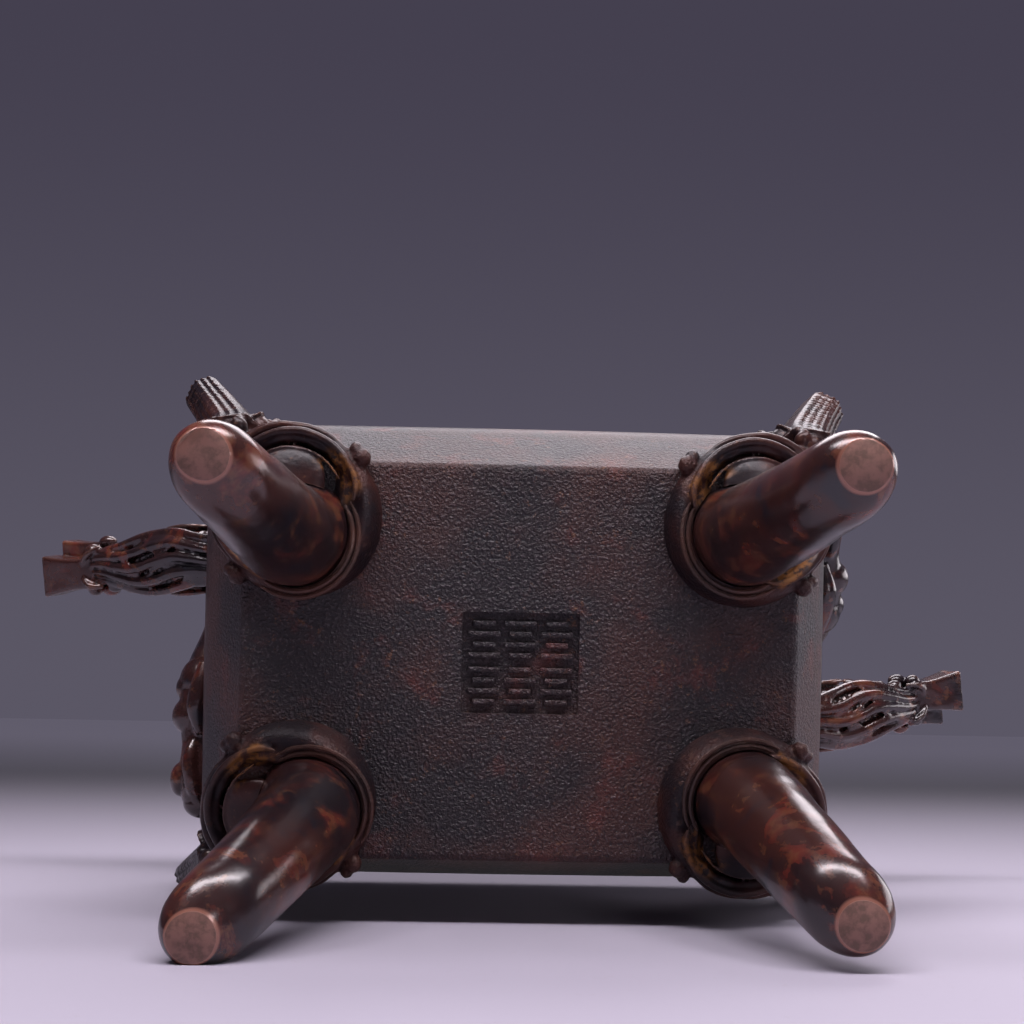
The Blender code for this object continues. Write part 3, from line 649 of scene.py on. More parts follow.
@dataclass
class Bowl:
    """The bulging rectangular bowl with its flat plate, neck and everted rim."""

    length_mm: float = 100.0
    width_mm: float = 71.0
    plate_z_mm: float = 48.0
    height_mm: float = 72.0
    belly_mm: float = 33.0
    spread_x_mm: float = 10.3
    spread_y_mm: float = 7.7
    neck_mm: float = 56.0
    neck_inset_mm: float = 7.5
    rim_overhang_mm: float = 7.8
    rim_band_mm: float = 4.0
    wall_mm: float = 4.5
    floor_mm: float = 6.0
    corner_mm: float = 9.5
    bow_mm: float = 0.4
    foot_edge_mm: float = 0.5
    outer_steps: int = 36
    inner_steps: int = 24
    panel_x_mm: float = 21.2
    panel_y_mm: float = 18.3
    panel_depth_mm: float = 1.0
    rows: int = 2
    columns: int = 3
    bars: int = 4

    def outset(self, height_mm: float, spread_mm: float) -> float:
        """How far the wall stands outside the plate's edge at a height above the plate."""
        if height_mm <= self.belly_mm:
            return spread_mm * math.sin(math.pi / 2 * height_mm / self.belly_mm)
        if height_mm <= self.neck_mm:
            share = (height_mm - self.belly_mm) / (self.neck_mm - self.belly_mm)
            return spread_mm - self.neck_inset_mm * (1 - math.cos(math.pi * share)) / 2
        band = self.height_mm - self.rim_band_mm
        share = min(1.0, (height_mm - self.neck_mm) / (band - self.neck_mm))
        return spread_mm - self.neck_inset_mm + self.rim_overhang_mm * (1 - math.cos(math.pi / 2 * share))

    def halves(self, height_mm: float, inset_mm: float) -> tuple[float, float]:
        """Half length and half width in millimetres, that far inside the outer face."""
        return (self.length_mm / 2 + self.outset(height_mm, self.spread_x_mm) - inset_mm,
                self.width_mm / 2 + self.outset(height_mm, self.spread_y_mm) - inset_mm)

    def _stack(self, name: str, levels: Sequence[tuple[float, float]]) -> bpy.types.Object:
        """Extrude a rectangle from level to level and round its upright corners.

        Args:
            name: the object's name.
            levels: each level's height above the plate and its distance inside the outer face.

        Returns:
            The closed stack.
        """
        level, inset = levels[0]
        half_x, half_y = self.halves(level, inset)
        bpy.ops.mesh.primitive_plane_add(size=2.0, location=(0.0, 0.0, (self.plate_z_mm + level) * MM))
        stack = only(bpy.context.object)
        stack.scale = (half_x * MM, half_y * MM, 1.0)
        settle(stack).name = name
        bpy.ops.object.mode_set(mode="EDIT")
        bpy.ops.mesh.select_all(action="SELECT")
        for height, inset in levels[1:]:
            next_x, next_y = self.halves(height, inset)
            rise = (0.0, 0.0, (height - level) * MM)
            bpy.ops.mesh.extrude_region_move(TRANSFORM_OT_translate={"value": rise})
            bpy.ops.transform.resize(value=(next_x / half_x, next_y / half_y, 1.0),
                                     center_override=(0.0, 0.0, (self.plate_z_mm + height) * MM))
            level, half_x, half_y = height, next_x, next_y
        bpy.ops.object.mode_set(mode="OBJECT")
        self._bevel(stack, self.corner_mm, 9,
                    lambda first, second: first.x * second.x > 0 and first.y * second.y > 0)
        return stack

    def _bevel(self, piece: bpy.types.Object, width_mm: float, segments: int,
               wanted: Callable[[Vector, Vector], bool]) -> None:
        """Round the edges whose two ends pass a test."""
        only(piece)
        bpy.ops.object.mode_set(mode="EDIT")
        bpy.ops.mesh.select_all(action="DESELECT")
        bpy.ops.object.mode_set(mode="OBJECT")
        for edge in piece.data.edges:
            edge.select = wanted(*[piece.data.vertices[index].co for index in edge.vertices])
        bpy.ops.object.mode_set(mode="EDIT")
        bpy.ops.mesh.bevel(offset=width_mm * MM, segments=segments, affect="EDGES", clamp_overlap=True)
        bpy.ops.object.mode_set(mode="OBJECT")

    def model(self) -> bpy.types.Object:
        """The hollow casting: up the outside, over the rim and down to the ash floor."""
        outside = [(self.height_mm * step / self.outer_steps, 0.0) for step in range(self.outer_steps + 1)]
        drop = (self.height_mm - self.floor_mm) / self.inner_steps
        inside = [(self.height_mm - drop * step, self.wall_mm) for step in range(self.inner_steps + 1)]
        bowl = self._stack("bowl", outside + inside)
        low = self.plate_z_mm * MM + 1e-5
        self._bevel(bowl, self.foot_edge_mm, 3, lambda first, second: first.z < low and second.z < low)
        self._bow_sides(bowl)
        return bowl

    def core(self) -> bpy.types.Object:
        """The space inside the wall's middle, which masks and handles must not reach."""
        low, high = self.floor_mm / 2, self.height_mm + 14.0
        rise = (high - low) / self.inner_steps
        return self._stack("core", [(low + rise * step, self.wall_mm * 0.6)
                                    for step in range(self.inner_steps + 1)])

    def _bow_sides(self, bowl: bpy.types.Object) -> None:
        """Cut the long faces into columns and push their middles out a little."""
        only(bowl)
        for axis, half in ((0, self.length_mm / 2), (1, self.width_mm / 2)):
            normal = [float(index == axis) for index in range(3)]
            for step in range(-7, 8):
                bpy.ops.object.mode_set(mode="EDIT")
                bpy.ops.mesh.select_all(action="SELECT")
                bpy.ops.mesh.bisect(plane_co=[part * half * 0.86 * step / 7 * MM for part in normal],
                                    plane_no=normal)
                bpy.ops.object.mode_set(mode="OBJECT")
        for vertex in bowl.data.vertices:
            height = max(0.0, vertex.co.z / MM - self.plate_z_mm)
            swell = self.bow_mm * MM * math.sin(math.pi / 2 * min(1.0, height / self.belly_mm))
            half_x, half_y = self.halves(height, 0.0)
            near_x = abs(vertex.co.x) / (half_x * MM)
            near_y = abs(vertex.co.y) / (half_y * MM)
            if near_y > near_x:
                vertex.co.y += math.copysign(swell * max(0.0, 1 - near_x ** 2), vertex.co.y)
            else:
                vertex.co.x += math.copysign(swell * max(0.0, 1 - near_y ** 2), vertex.co.x)

    def _slab(self, centre_mm: Point, size_mm: Point) -> bpy.types.Object:
        """A box with rounded edges."""
        bpy.ops.mesh.primitive_cube_add(size=1.0, location=spot(*centre_mm))
        slab = bpy.context.object
        slab.scale = Vector(size_mm) * MM
        settle(slab)
        bpy.ops.object.mode_set(mode="EDIT")
        bpy.ops.mesh.select_all(action="SELECT")
        bpy.ops.mesh.bevel(offset=0.2 * MM, segments=2, affect="EDGES")
        bpy.ops.object.mode_set(mode="OBJECT")
        return slab

    def panel(self, bowl: bpy.types.Object) -> bpy.types.Object:
        """Sink the panel into the plate and lay rows of plain strokes in its six cells.

        Args:
            bowl: the bowl that the panel is cut in.

        Returns:
            The strokes.
        """
        depth = self.panel_depth_mm
        hollow = self._slab((0.0, 0.0, self.plate_z_mm), (self.panel_x_mm, self.panel_y_mm, 2 * depth))
        cut(bowl, hollow, "EXACT")
        strokes = []
        inner_x, inner_y = self.panel_x_mm - 1.6, self.panel_y_mm - 1.6
        cell_x, cell_y = inner_x / self.columns, inner_y / self.rows
        for column in range(self.columns):
            for row in range(self.rows):
                for bar in range(self.bars):
                    long = cell_x * (0.88 if (bar + column + row) % 2 else 0.62)
                    middle = ((column + 0.5) * cell_x - inner_x / 2,
                              (row + (bar + 0.5) / self.bars * 0.92 + 0.04) * cell_y - inner_y / 2,
                              self.plate_z_mm + depth - 0.25)
                    strokes.append(self._slab(middle, (long, 1.0, 1.1)))
        sheet = join(strokes)
        sheet.name = "panel_strokes"
        return sheet

    def build(self, finish: bpy.types.Material) -> None:
        """Make the bowl and its panel."""
        bowl = self.model()
        strokes = self.panel(bowl)
        dress(bowl, finish, "cast_copper", "vessel")
        dress(strokes, finish, "cast_copper", "vessel")


@dataclass
class Mask:
    """A beast's head at a corner: a jaw round the leg, an open mouth, a face and a crest."""

    leg: Leg
    bowl: Bowl
    jaw_tilt: float = 15.0
    clearance_mm: float = 0.2
    grain_mm: float = 0.31

    def jaw(self, clay: Clay) -> None:
        """The lower jaw: a broad lip that drops steeply to the plate."""
        clay.turned(((15.2, 5.0), (14.95, 2.0), (14.75, 0.2), (14.5, -0.9), (14.1, -1.8), (13.4, -2.5),
                     (12.6, -2.75), (11.8, -2.6), (11.2, -2.35), (10.0, -2.2), (8.6, -2.1), (6.0, -1.2),
                     (5.0, 5.0)), self.jaw_tilt, spot(-0.6, 0.0, 0.2))

    def rings(self, stance: Stance) -> list[bpy.types.Object]:
        """Two fine raised rings on the jaw that hug one leg."""
        place = stance.place()
        centre = (place.inverted() @ self.leg.middle(44.5, stance)) / MM
        clay = Clay("ring")
        for reach, thick in ((9.95, 0.50), (11.05, 0.45)):
            knots, radii = [], []
            for angle in range(102, 259, 13):
                turn = math.radians(angle)
                x, y = centre.x + reach * math.cos(turn), centre.y + reach * math.sin(turn)
                knots.append(place @ spot(x, y, -2.35 + 0.268 * x))
                radii.append(thick * (0.5 if angle in (102, 258) else 1.0))
            clay.lock(knots, radii, 8)
        return clay.parts

    def head(self, clay: Clay) -> None:
        """The mass of the head, wrapped close round the bowl's corner."""
        clay.ball(spot(11.0, 0.0, 16.0), (8.6, 5.4, 14.0), (0.0, 10.0, 0.0), 32)
        clay.ball(spot(13.0, 0.0, 22.5), (7.6, 5.0, 8.6), segments=28)
        clay.ball(spot(12.4, 0.0, 8.4), (5.0, 6.6, 4.6), (0.0, -20.0, 0.0), 28)
        for side in (1, -1):
            clay.ball(spot(7.6, side * 7.4, 5.0), (4.8, 4.6, 5.6), segments=24)

    def mouth(self, body: bpy.types.Object) -> None:
        """Open the mouth on the outward side of the leg."""
        bpy.ops.mesh.primitive_uv_sphere_add(segments=40, ring_count=24, radius=MM,
                                             location=spot(3.6, 0.0, -2.2), scale=(10.8, 12.5, 6.2),
                                             rotation=(0.0, math.radians(-20.0), 0.0))
        cut(body, bpy.context.object)

    def lips(self, clay: Clay) -> None:
        """The tongue with its rim, the folded inner lip and the two upper lips."""
        clay.ball(spot(4.5, 0.0, -0.9), (7.9, 9.8, 2.6), (0.0, -22.0, 0.0), 32)
        for side in (1, -1):
            outer = [(124, 10.8, -4.7), (112, 11.9, -4.4), (98, 12.6, -3.5), (78, 13.4, -2.0), (57, 14.1, -0.5),
                     (39, 14.5, 1.1), (20, 14.5, 2.4), (0, 14.5, 2.9)]
            clay.lock([ring_spot(*knot, side) for knot in outer], (0.35, 0.6, 0.7, 0.75, 0.8, 0.85, 0.9, 0.9))
            second = [(84, 14.3, -0.4), (66, 14.8, 1.4), (46, 15.3, 3.8), (24, 16.1, 5.8), (0, 16.5, 6.4)]
            clay.lock([ring_spot(*knot, side) for knot in second], (0.4, 0.7, 0.85, 1.0, 1.0))
            inner = [(106, 11.6, -3.0), (95, 12.1, -2.3), (84, 12.0, -1.5), (74, 12.5, -0.8), (64, 12.6, -0.1),
                     (52, 13.0, 1.0), (38, 13.3, 2.0), (20, 13.4, 3.2), (0, 13.4, 3.6)]
            clay.lock([ring_spot(*knot, side) for knot in inner],
                      (0.5, 0.9, 1.1, 0.9, 1.1, 0.95, 1.1, 1.1, 1.1))
            rim = [(100, 9.9, -3.9), (86, 10.2, -3.0), (70, 10.7, -1.9), (50, 11.2, -0.8), (26, 11.7, 0.3),
                   (0, 11.9, 0.7)]
            clay.lock([ring_spot(*knot, side) for knot in rim], (0.2, 0.32, 0.36, 0.36, 0.36, 0.36), 8)

    def face(self, clay: Clay) -> None:
        """Nose, eyes, brows, cheeks, curls and ears."""
        clay.ball(spot(19.6, 0.0, 13.6), (2.6, 3.0, 2.4), (0.0, -20.0, 0.0))
        clay.lock([spot(20.4, 0.0, 15.0), spot(21.0, 0.0, 20.5), spot(21.8, 0.0, 27.0)], (1.7, 1.3, 1.7))
        for side in (1, -1):
            clay.ball(spot(19.2, side * 2.6, 12.7), (1.8, 1.6, 1.5), (0.0, 0.0, side * 25.0))
            clay.lock([spot(20.0, side * 2.0, 11.9), spot(20.8, side * 3.3, 12.7), spot(19.8, side * 4.0, 14.2),
                       spot(18.8, side * 3.2, 14.9)], (0.5, 0.55, 0.45, 0.25), 8)
            clay.ball(spot(17.2, side * 4.6, 18.8), (2.8, 2.5, 2.6), segments=24)
            clay.ball(spot(18.8, side * 5.3, 18.6), (1.3, 1.3, 1.2))
            clay.hoop(spot(18.7, side * 5.3, 18.6), 1.9, 0.32, -70.0)
            clay.lock([spot(21.2, side * 1.2, 19.6), spot(19.9, side * 3.6, 21.9), spot(17.4, side * 6.0, 22.6),
                       spot(14.9, side * 7.8, 21.6), spot(13.2, side * 9.0, 19.8)], (1.1, 1.2, 1.0, 0.8, 0.4))
            for number in range(4):
                clay.lock([spot(21.0 - number * 1.6, side * (1.6 + number * 1.9), 23.0),
                           spot(21.3 - number * 1.7, side * (1.9 + number * 2.0), 26.4),
                           spot(20.8 - number * 1.9, side * (2.5 + number * 1.9), 29.0 - number * 0.7)],
                          (0.8, 0.75, 0.25), 8)
            clay.ball(spot(13.4, side * 6.6, 12.0), (2.4, 2.0, 2.8), (side * -20.0, 0.0, side * 30.0))
            self._curl(clay, spot(13.6, side * 7.2, 12.2), 1.8, side)
            self._curl(clay, spot(9.6, side * 8.6, 7.2), 1.5, side)
            self._curl(clay, spot(12.2, side * 8.3, 17.6), 1.4, side)
            clay.lock([spot(12.8, side * 7.8, 23.6), spot(12.6, side * 8.6, 25.6), spot(11.6, side * 9.0, 27.8),
                       spot(10.4, side * 8.6, 29.4)], (0.9, 1.2, 0.9, 0.4))
            clay.lock([spot(15.6, side * 4.4, 9.8), spot(12.8, side * 6.8, 9.0), spot(10.4, side * 8.8, 10.2),
                       spot(8.4, side * 10.2, 12.6)], (0.8, 0.9, 0.8, 0.3))

    def _curl(self, clay: Clay, centre: Vector, size_mm: float, side: int) -> None:
        """A snail curl of the mane that faces outward from the head."""
        outward = Vector((0.62, 0.78 * side, 0.0))
        level = Vector((-0.78 * side, 0.62, 0.0))
        knots = []
        for step in range(9):
            angle = math.radians(52.0 * step) * side
            reach = size_mm * MM * (1 - step / 9.5)
            knots.append(centre + (level * math.cos(angle) + Vector((0.0, 0.0, math.sin(angle)))) * reach
                         + outward * (0.10 * step * MM))
        clay.lock(knots, [0.52 * (1 - 0.05 * step) for step in range(9)], 8)

    def crest(self, clay: Clay) -> None:
        """The crest: a ridged bar with scale strokes on one panel and hatching on the other."""
        path = self._along(((16.6, 15.0), (19.4, 27.0), (26.2, 40.4), (33.0, 50.4)), 14)
        last = len(path) - 1
        rings, strokes, hatches = [], [], []
        for index, (middle, heading) in enumerate(path):
            share = index / last
            deep, wide = 7.8 - 3.9 * share, 6.1 - 1.5 * share
            turn = Euler((0.0, math.atan2(heading.x, heading.z), 0.0))
            rings.append((middle, turn, (deep, wide)))
            normal = Vector((heading.z, 0.0, -heading.x))
            for half in (0.0, 1.5):
                if 1 < index < last:
                    for row in range(3):
                        across = 0.17 + 0.25 * row
                        place = middle + heading * (half * MM) + normal * (deep * (1 - 0.577 * across) * MM)
                        side = Vector((0.0, wide * across * MM, 0.0))
                        strokes.append((place + side, Euler((0.5, turn.y, 0.35))))
                        hatches.append((place - side, Euler((0.0, turn.y, -0.9))))
        clay.parts.append(loft(rings, 6))
        clay.grains(strokes, (0.46, 0.46, 1.0))
        clay.grains(hatches, (0.40, 0.70, 0.28))
        tip, heading = path[-1]
        for side in (1, -1):
            clay.ball(tip + Vector((0.0, side * 2.3 * MM, 0.0)) + heading * (-0.4 * MM), (2.2, 0.7, 0.8),
                      (0.0, math.degrees(math.atan2(heading.x, heading.z)), 0.0), 12)

    def _along(self, knots: Sequence[tuple[float, float]], steps: int) -> list[tuple[Vector, Vector]]:
        """Points and headings along a smooth line through knots in the upright plane."""
        points = []
        for step in range(steps + 1):
            share = step / steps * (len(knots) - 1)
            first = min(int(share), len(knots) - 2)
            part = share - first
            before = Vector(knots[max(0, first - 1)])
            start = Vector(knots[first])
            stop = Vector(knots[first + 1])
            after = Vector(knots[min(len(knots) - 1, first + 2)])
            pull = (stop - before) * part + (2 * before - 5 * start + 4 * stop - after) * part ** 2
            pull += (3 * start - before - 3 * stop + after) * part ** 3
            place = start + 0.5 * pull
            points.append(spot(place.x, 0.0, place.y))
        return [(point, (points[min(index + 1, steps)] - points[max(index - 1, 0)]).normalized())
                for index, point in enumerate(points)]

    def nubs(self, clay: Clay) -> None:
        """The faceted knobs beside the jaw at the plate's edges, like small rolled ears."""
        for side in (1, -1):
            centre = ring_spot(95.0, 15.2, -0.8, side)
            clay.ball(centre, (1.9, 2.0, 1.9), (20.0, 15.0, 30.0), 7)
            clay.ball(centre + spot(1.5, side * 0.3, 1.2), (1.8, 1.4, 2.2), (0.0, 20.0, side * 30.0), 8)

    def model(self) -> bpy.types.Object:
        """One mask in the corner's frame, still without its socket."""
        clay = Clay("mask", self.grain_mm * 1.6)
        self.jaw(clay)
        self.head(clay)
        self.mouth(clay.press(2))
        clay.grain_mm = self.grain_mm
        for shape in (self.lips, self.face, self.crest, self.nubs):
            shape(clay)
        body = clay.press(2)
        roughen(body, 3.0, 0.14)
        return body

    def build(self, finish: bpy.types.Material) -> None:
        """Make the four masks, each with its own leg's socket and open to the bowl."""
        model = self.model()
        for stance in STANCES:
            mask = copy_to(model, f"mask_{stance.number}", stance.place())
            cut(mask, self.leg.model(stance, self.clearance_mm))
            cut(mask, self.bowl.core())
            dress(join([mask, *self.rings(stance)]), finish, "cast_copper", "vessel")
        bpy.data.objects.remove(model)


@dataclass
class Dragon:
    """A dragon on a short wall: its head stands off as the handle, its body curls along the wall."""

    side_mm: float = 17.0
    root_height_mm: float = 55.0
    length_mm: float = 53.2
    neck_mm: float = 44.0
    rise: float = 28.5
    turn: float = -6.0
    width_mm: float = 13.4
    depth_mm: float = 11.8
    belly_x_mm: float = 61.2
    neck_inset_mm: float = 7.5
    plate_z_mm: float = 48.0
    grain_mm: float = 0.31

    def skull_size(self, along: float) -> tuple[float, float]:
        """Half width and half depth of the skull in millimetres at a share of its length."""
        swell = 0.86 + 0.12 * math.sin(math.pi * min(1.0, 0.12 + along))
        taper = 1.0 - 0.34 * max(0.0, (along - 0.62) / 0.38) ** 1.4
        return self.width_mm / 2 * swell * taper, self.depth_mm / 2 * swell * taper

    def skin(self, along: float, around: float, lift_mm: float = 0.0) -> Vector:
        """A point on the skull: 0 degrees is its +Y side, -90 its underside."""
        wide, deep = self.skull_size(along)
        turn = math.radians(around)
        return spot(self.neck_mm * along, (wide + lift_mm) * math.cos(turn), (deep + lift_mm) * math.sin(turn))

    def head(self, clay: Clay) -> None:
        """Skull, muzzle blocks, folds, leaves, locks, curls, eyes and horns."""
        for step in range(-3, 25):
            wide, deep = self.skull_size(max(0.0, step / 24))
            clay.ball(spot(self.neck_mm * step / 24, 0.0, 0.0), (2.6, wide - 0.5, deep - 0.5), segments=20)
        self._muzzle(clay)
        self._underside(clay)
        for side in (1, -1):
            self._topside(clay, side)
        self._mane(clay)

    def _block(self, clay: Clay, stop_mm: float, waist: Sequence[float], tip: Sequence[float],
               offset: Sequence[float]) -> None:
        """A squared block of the muzzle that flares to its tip.

        Args:
            clay: what it is pressed into.
            stop_mm: where its tip is.
            waist: width and height at its start.
            tip: width and height at its tip.
            offset: how far it lies to the side and up.
        """
        start_mm = self.neck_mm - 4.0
        bpy.ops.mesh.primitive_cube_add(size=1.0, location=spot(start_mm, *offset))
        block = bpy.context.object
        block.scale = Vector((1.0, *waist)) * MM
        settle(block)
        bpy.ops.object.mode_set(mode="EDIT")
        bpy.ops.mesh.select_all(action="DESELECT")
        bpy.ops.object.mode_set(mode="OBJECT")
        for face in block.data.polygons:
            face.select = face.normal.x > 0.5
        bpy.ops.object.mode_set(mode="EDIT")
        steps = 8
        size = list(waist)
        length = (stop_mm - start_mm - 0.5) / steps
        for step in range(1, steps + 1):
            share = max(0.0, step / steps - 0.25) / 0.75
            wanted = [waist[axis] + (tip[axis] - waist[axis]) * share ** 1.7 for axis in (0, 1)]
            bpy.ops.mesh.extrude_region_move(TRANSFORM_OT_translate={"value": (length * MM, 0.0, 0.0)})
            bpy.ops.transform.resize(value=(1.0, wanted[0] / size[0], wanted[1] / size[1]),
                                     center_override=spot(start_mm + length * step, *offset))
            size = wanted
        bpy.ops.mesh.select_all(action="SELECT")
        bpy.ops.mesh.bevel(offset=0.6 * MM, segments=3, affect="EDGES", clamp_overlap=True)
        bpy.ops.object.mode_set(mode="OBJECT")
        clay.parts.append(block)

    def _muzzle(self, clay: Clay) -> None:
        """The lower and the upper snout, each a flared block, with the knobs at their neck."""
        neck, tip = self.neck_mm, self.length_mm
        self._block(clay, tip, (6.6, 5.0), (9.2, 6.4), (-1.3, -2.0))
        self._block(clay, tip - 1.9, (6.2, 4.6), (8.2, 5.6), (2.3, 2.4))
        for side in (1, -1):
            clay.ball(spot(neck - 3.2, side * 4.2 - 0.6, -2.4), (1.7, 1.5, 1.6))
            clay.ball(spot(neck - 5.6, side * 5.2, 0.0), (2.2, 1.4, 1.7))
            clay.lock([spot(neck - 1.6, side * 1.8 - 0.6, -4.5), spot(neck - 3.6, side * 3.4 - 0.6, -4.9),
                       spot(neck - 6.4, side * 4.4, -3.8)], (0.5, 0.75, 0.45), 8)
            clay.ball(spot(tip - 3.6, side * 2.2 + 2.0, 5.0), (1.7, 1.4, 1.1))
            clay.lock([spot(tip - 2.6, side * 1.5 + 2.0, 5.0), spot(tip - 4.4, side * 3.1 + 2.0, 5.5),
                       spot(tip - 6.2, side * 2.4 + 2.0, 5.2)], (0.5, 0.6, 0.4), 8)

    def _leaf(self, clay: Clay, start: tuple[float, float], stop: tuple[float, float], breadth: float) -> None:
        """A leaf with a raised rim, laid on the skull between two places given as share and degrees."""
        for side in (1, -1):
            rim = []
            for step in range(6):
                share = step / 5
                along = start[0] + (stop[0] - start[0]) * share
                around = start[1] + (stop[1] - start[1]) * share
                rim.append(self.skin(along, around + side * breadth * math.sin(math.pi * share), 0.6))
            clay.lock(rim, (0.3, 0.5, 0.6, 0.6, 0.5, 0.3), 8)
        for share in (0.35, 0.5, 0.65):
            along = start[0] + (stop[0] - start[0]) * share
            around = start[1] + (stop[1] - start[1]) * share
            clay.ball(self.skin(along, around, 0.1), (2.4, 1.1, 1.1), segments=14)

    def _strands(self, clay: Clay, start: tuple[float, float], stop: tuple[float, float], count: int,
                 spread: float, radius_mm: float, wave: float = 6.0) -> None:
        """Parallel wavy strands of hair over the skull.

        Args:
            clay: what they are pressed into.
            start: where their middle starts, as share and degrees.
            stop: where it ends.
            count: how many strands there are.
            spread: degrees between two strands.
            radius_mm: how thick they are.
            wave: degrees that they swing.
        """
        for number in range(count):
            shift = (number - (count - 1) / 2) * spread
            knots = []
            for step in range(9):
                share = step / 8
                along = start[0] + (stop[0] - start[0]) * share
                swing = wave * math.sin(3.5 * math.pi * share + 0.5 * number)
                swell = math.sin(math.pi * share)
                around = start[1] + (stop[1] - start[1]) * share + shift * (0.65 + 0.35 * swell) + swing
                knots.append(self.skin(along, around, 0.1 + 0.4 * swell))
            taper = (0.4, 0.8, 1.0, 1.1, 1.0, 1.1, 1.0, 0.8, 0.4)
            clay.lock(knots, [radius_mm * factor for factor in taper], 8)

    def _underside(self, clay: Clay) -> None:
        """What shows from below: deep wavy folds, fine hair, a leaf with a rim and the jaw's knobs."""
        self._strands(clay, (0.94, -92), (0.04, -88), 5, 27.0, 1.05, 7.0)
        self._strands(clay, (0.80, -116), (0.20, -104), 4, 9.0, 0.36, 9.0)
        self._strands(clay, (0.66, -58), (0.12, -66), 3, 10.0, 0.36, 9.0)
        self._leaf(clay, (0.60, -44), (0.32, -50), 11.0)
        self._leaf(clay, (0.36, -128), (0.10, -122), 12.0)
        clay.ball(self.skin(0.80, -146, 0.2), (1.9, 1.3, 1.4))
        clay.ball(self.skin(0.70, -150, 0.0), (1.5, 1.1, 1.2))
        clay.lock([self.skin(0.98, -84, 0.1), self.skin(0.90, -56, 0.5), self.skin(0.80, -62, 0.7),
                   self.skin(0.64, -88, 0.8)], (0.4, 0.7, 0.7, 0.3), 8)

    def _topside(self, clay: Clay, side: int) -> None:
        """What shows from above: eyes, brows, ears and horns."""
        top = 90.0
        brow = ((0.86, 16, 0.4), (0.78, 28, 1.3), (0.66, 46, 1.5), (0.58, 66, 0.7))
        horn = ((0.60, 24, 0.2), (0.46, 26, 1.3), (0.26, 34, 1.5), (0.12, 30, 1.6))
        clay.ball(self.skin(0.72, top - side * 46), (2.1, 1.7, 1.7))
        clay.ball(self.skin(0.735, top - side * 48, 1.1), (0.9, 0.9, 0.9), segments=14)
        for bar, radii in ((brow, (0.7, 1.1, 1.0, 0.4)), (horn, (1.4, 1.2, 0.9, 0.5))):
            clay.lock([self.skin(along, top - side * around, lift) for along, around, lift in bar], radii)
        self._leaf(clay, (0.56, top - side * 72), (0.30, top - side * 78), 15.0)
        self._strands(clay, (0.50, top - side * 50), (0.04, top - side * 52), 4, 11.0, 0.55)
        self._strands(clay, (0.92, top - side * 20), (0.80, top - side * 10), 2, 9.0, 0.4)

    def _mane(self, clay: Clay) -> None:
        """Rows of small curls over the neck at the wall."""
        places = []
        for row in range(5):
            for number in range(14):
                around = 360.0 * (number + 0.5 * (row % 2)) / 14
                if math.sin(math.radians(around)) > -0.3:
                    places.append((self.skin(0.02 + 0.05 * row, around, 0.2), Euler((0.0, 0.0, 0.0))))
        clay.grains(places, (0.8, 0.7, 0.7))

    def limb(self, clay: Clay) -> None:
        """The glossy curled body: haunch, waist and paw, with a roundel outside each joint."""
        spine = ((56.5, 17.0, 101.0, 4.0), (57.6, 7.5, 101.5, 4.2), (59.4, -0.5, 97.5, 4.6),
                 (61.3, -8.2, 91.5, 5.2), (61.8, -14.0, 88.5, 5.2), (61.6, -20.6, 86.2, 4.1),
                 (61.6, -26.0, 84.8, 4.5), (61.3, -31.4, 83.6, 3.9))
        haunch = ((61.0, -4.4, 84.4, 1.7), (61.8, -9.0, 82.6, 2.2), (62.4, -13.0, 82.0, 2.1),
                  (61.6, -18.0, 82.6, 1.0))
        paw = ((62.6, -18.6, 83.8, 0.8), (63.4, -22.4, 82.0, 1.6), (62.8, -27.4, 81.0, 1.8),
               (61.4, -31.4, 81.0, 1.2))
        back = ((62.8, -10.0, 93.0, 2.2), (64.2, -16.0, 96.4, 2.2), (61.4, -24.0, 98.6, 1.6),
                (57.6, -29.0, 96.6, 0.8))
        for bar, sides in ((spine, 20), (haunch, 14), (paw, 14), (back, 14)):
            clay.lock([spot(*knot[:3]) for knot in bar], [knot[3] for knot in bar], sides)
        for centre, radii in (((62.0, -8.6, 90.5), (5.2, 5.4, 5.6)), ((64.4, -9.8, 90.0), (3.4, 3.3, 3.4)),
                              ((63.5, -15.2, 88.0), (4.6, 4.2, 4.6)), ((65.6, -27.6, 85.0), (2.2, 3.4, 3.2)),
                              ((61.2, -32.0, 83.4), (3.7, 3.0, 3.6))):
            clay.ball(spot(*centre), radii, segments=28)

    def model(self) -> bpy.types.Object:
        """One finished dragon, on the +X wall."""
        clay = Clay("dragon", self.grain_mm)
        self.head(clay)
        lift = self.plate_z_mm + self.root_height_mm - math.sin(math.radians(self.rise)) * self.depth_mm * 0.2
        place = (Matrix.Translation(spot(self.belly_x_mm - self.neck_inset_mm, self.side_mm, lift))
                 @ Matrix.Rotation(math.radians(self.turn), 4, "Z")
                 @ Matrix.Rotation(math.radians(-self.rise), 4, "Y"))
        for part in clay.parts:
            part.matrix_world = place @ part.matrix_world
        self.limb(clay)
        body = clay.press(2)
        roughen(body, 3.5, 0.16)
        return body

    def build(self, finish: bpy.types.Material, bowl: Bowl) -> None:
        """Make both dragons, the second turned half round."""
        model = self.model()
        cut(model, bowl.core())
        for number, angle in ((1, 0.0), (2, math.pi)):
            copy = copy_to(model, f"dragon_{number}_burnished", Matrix.Rotation(angle, 4, "Z"))
            dress(copy, finish, "burnished_copper", f"dragon_handle_{number}")
        bpy.data.objects.remove(model)


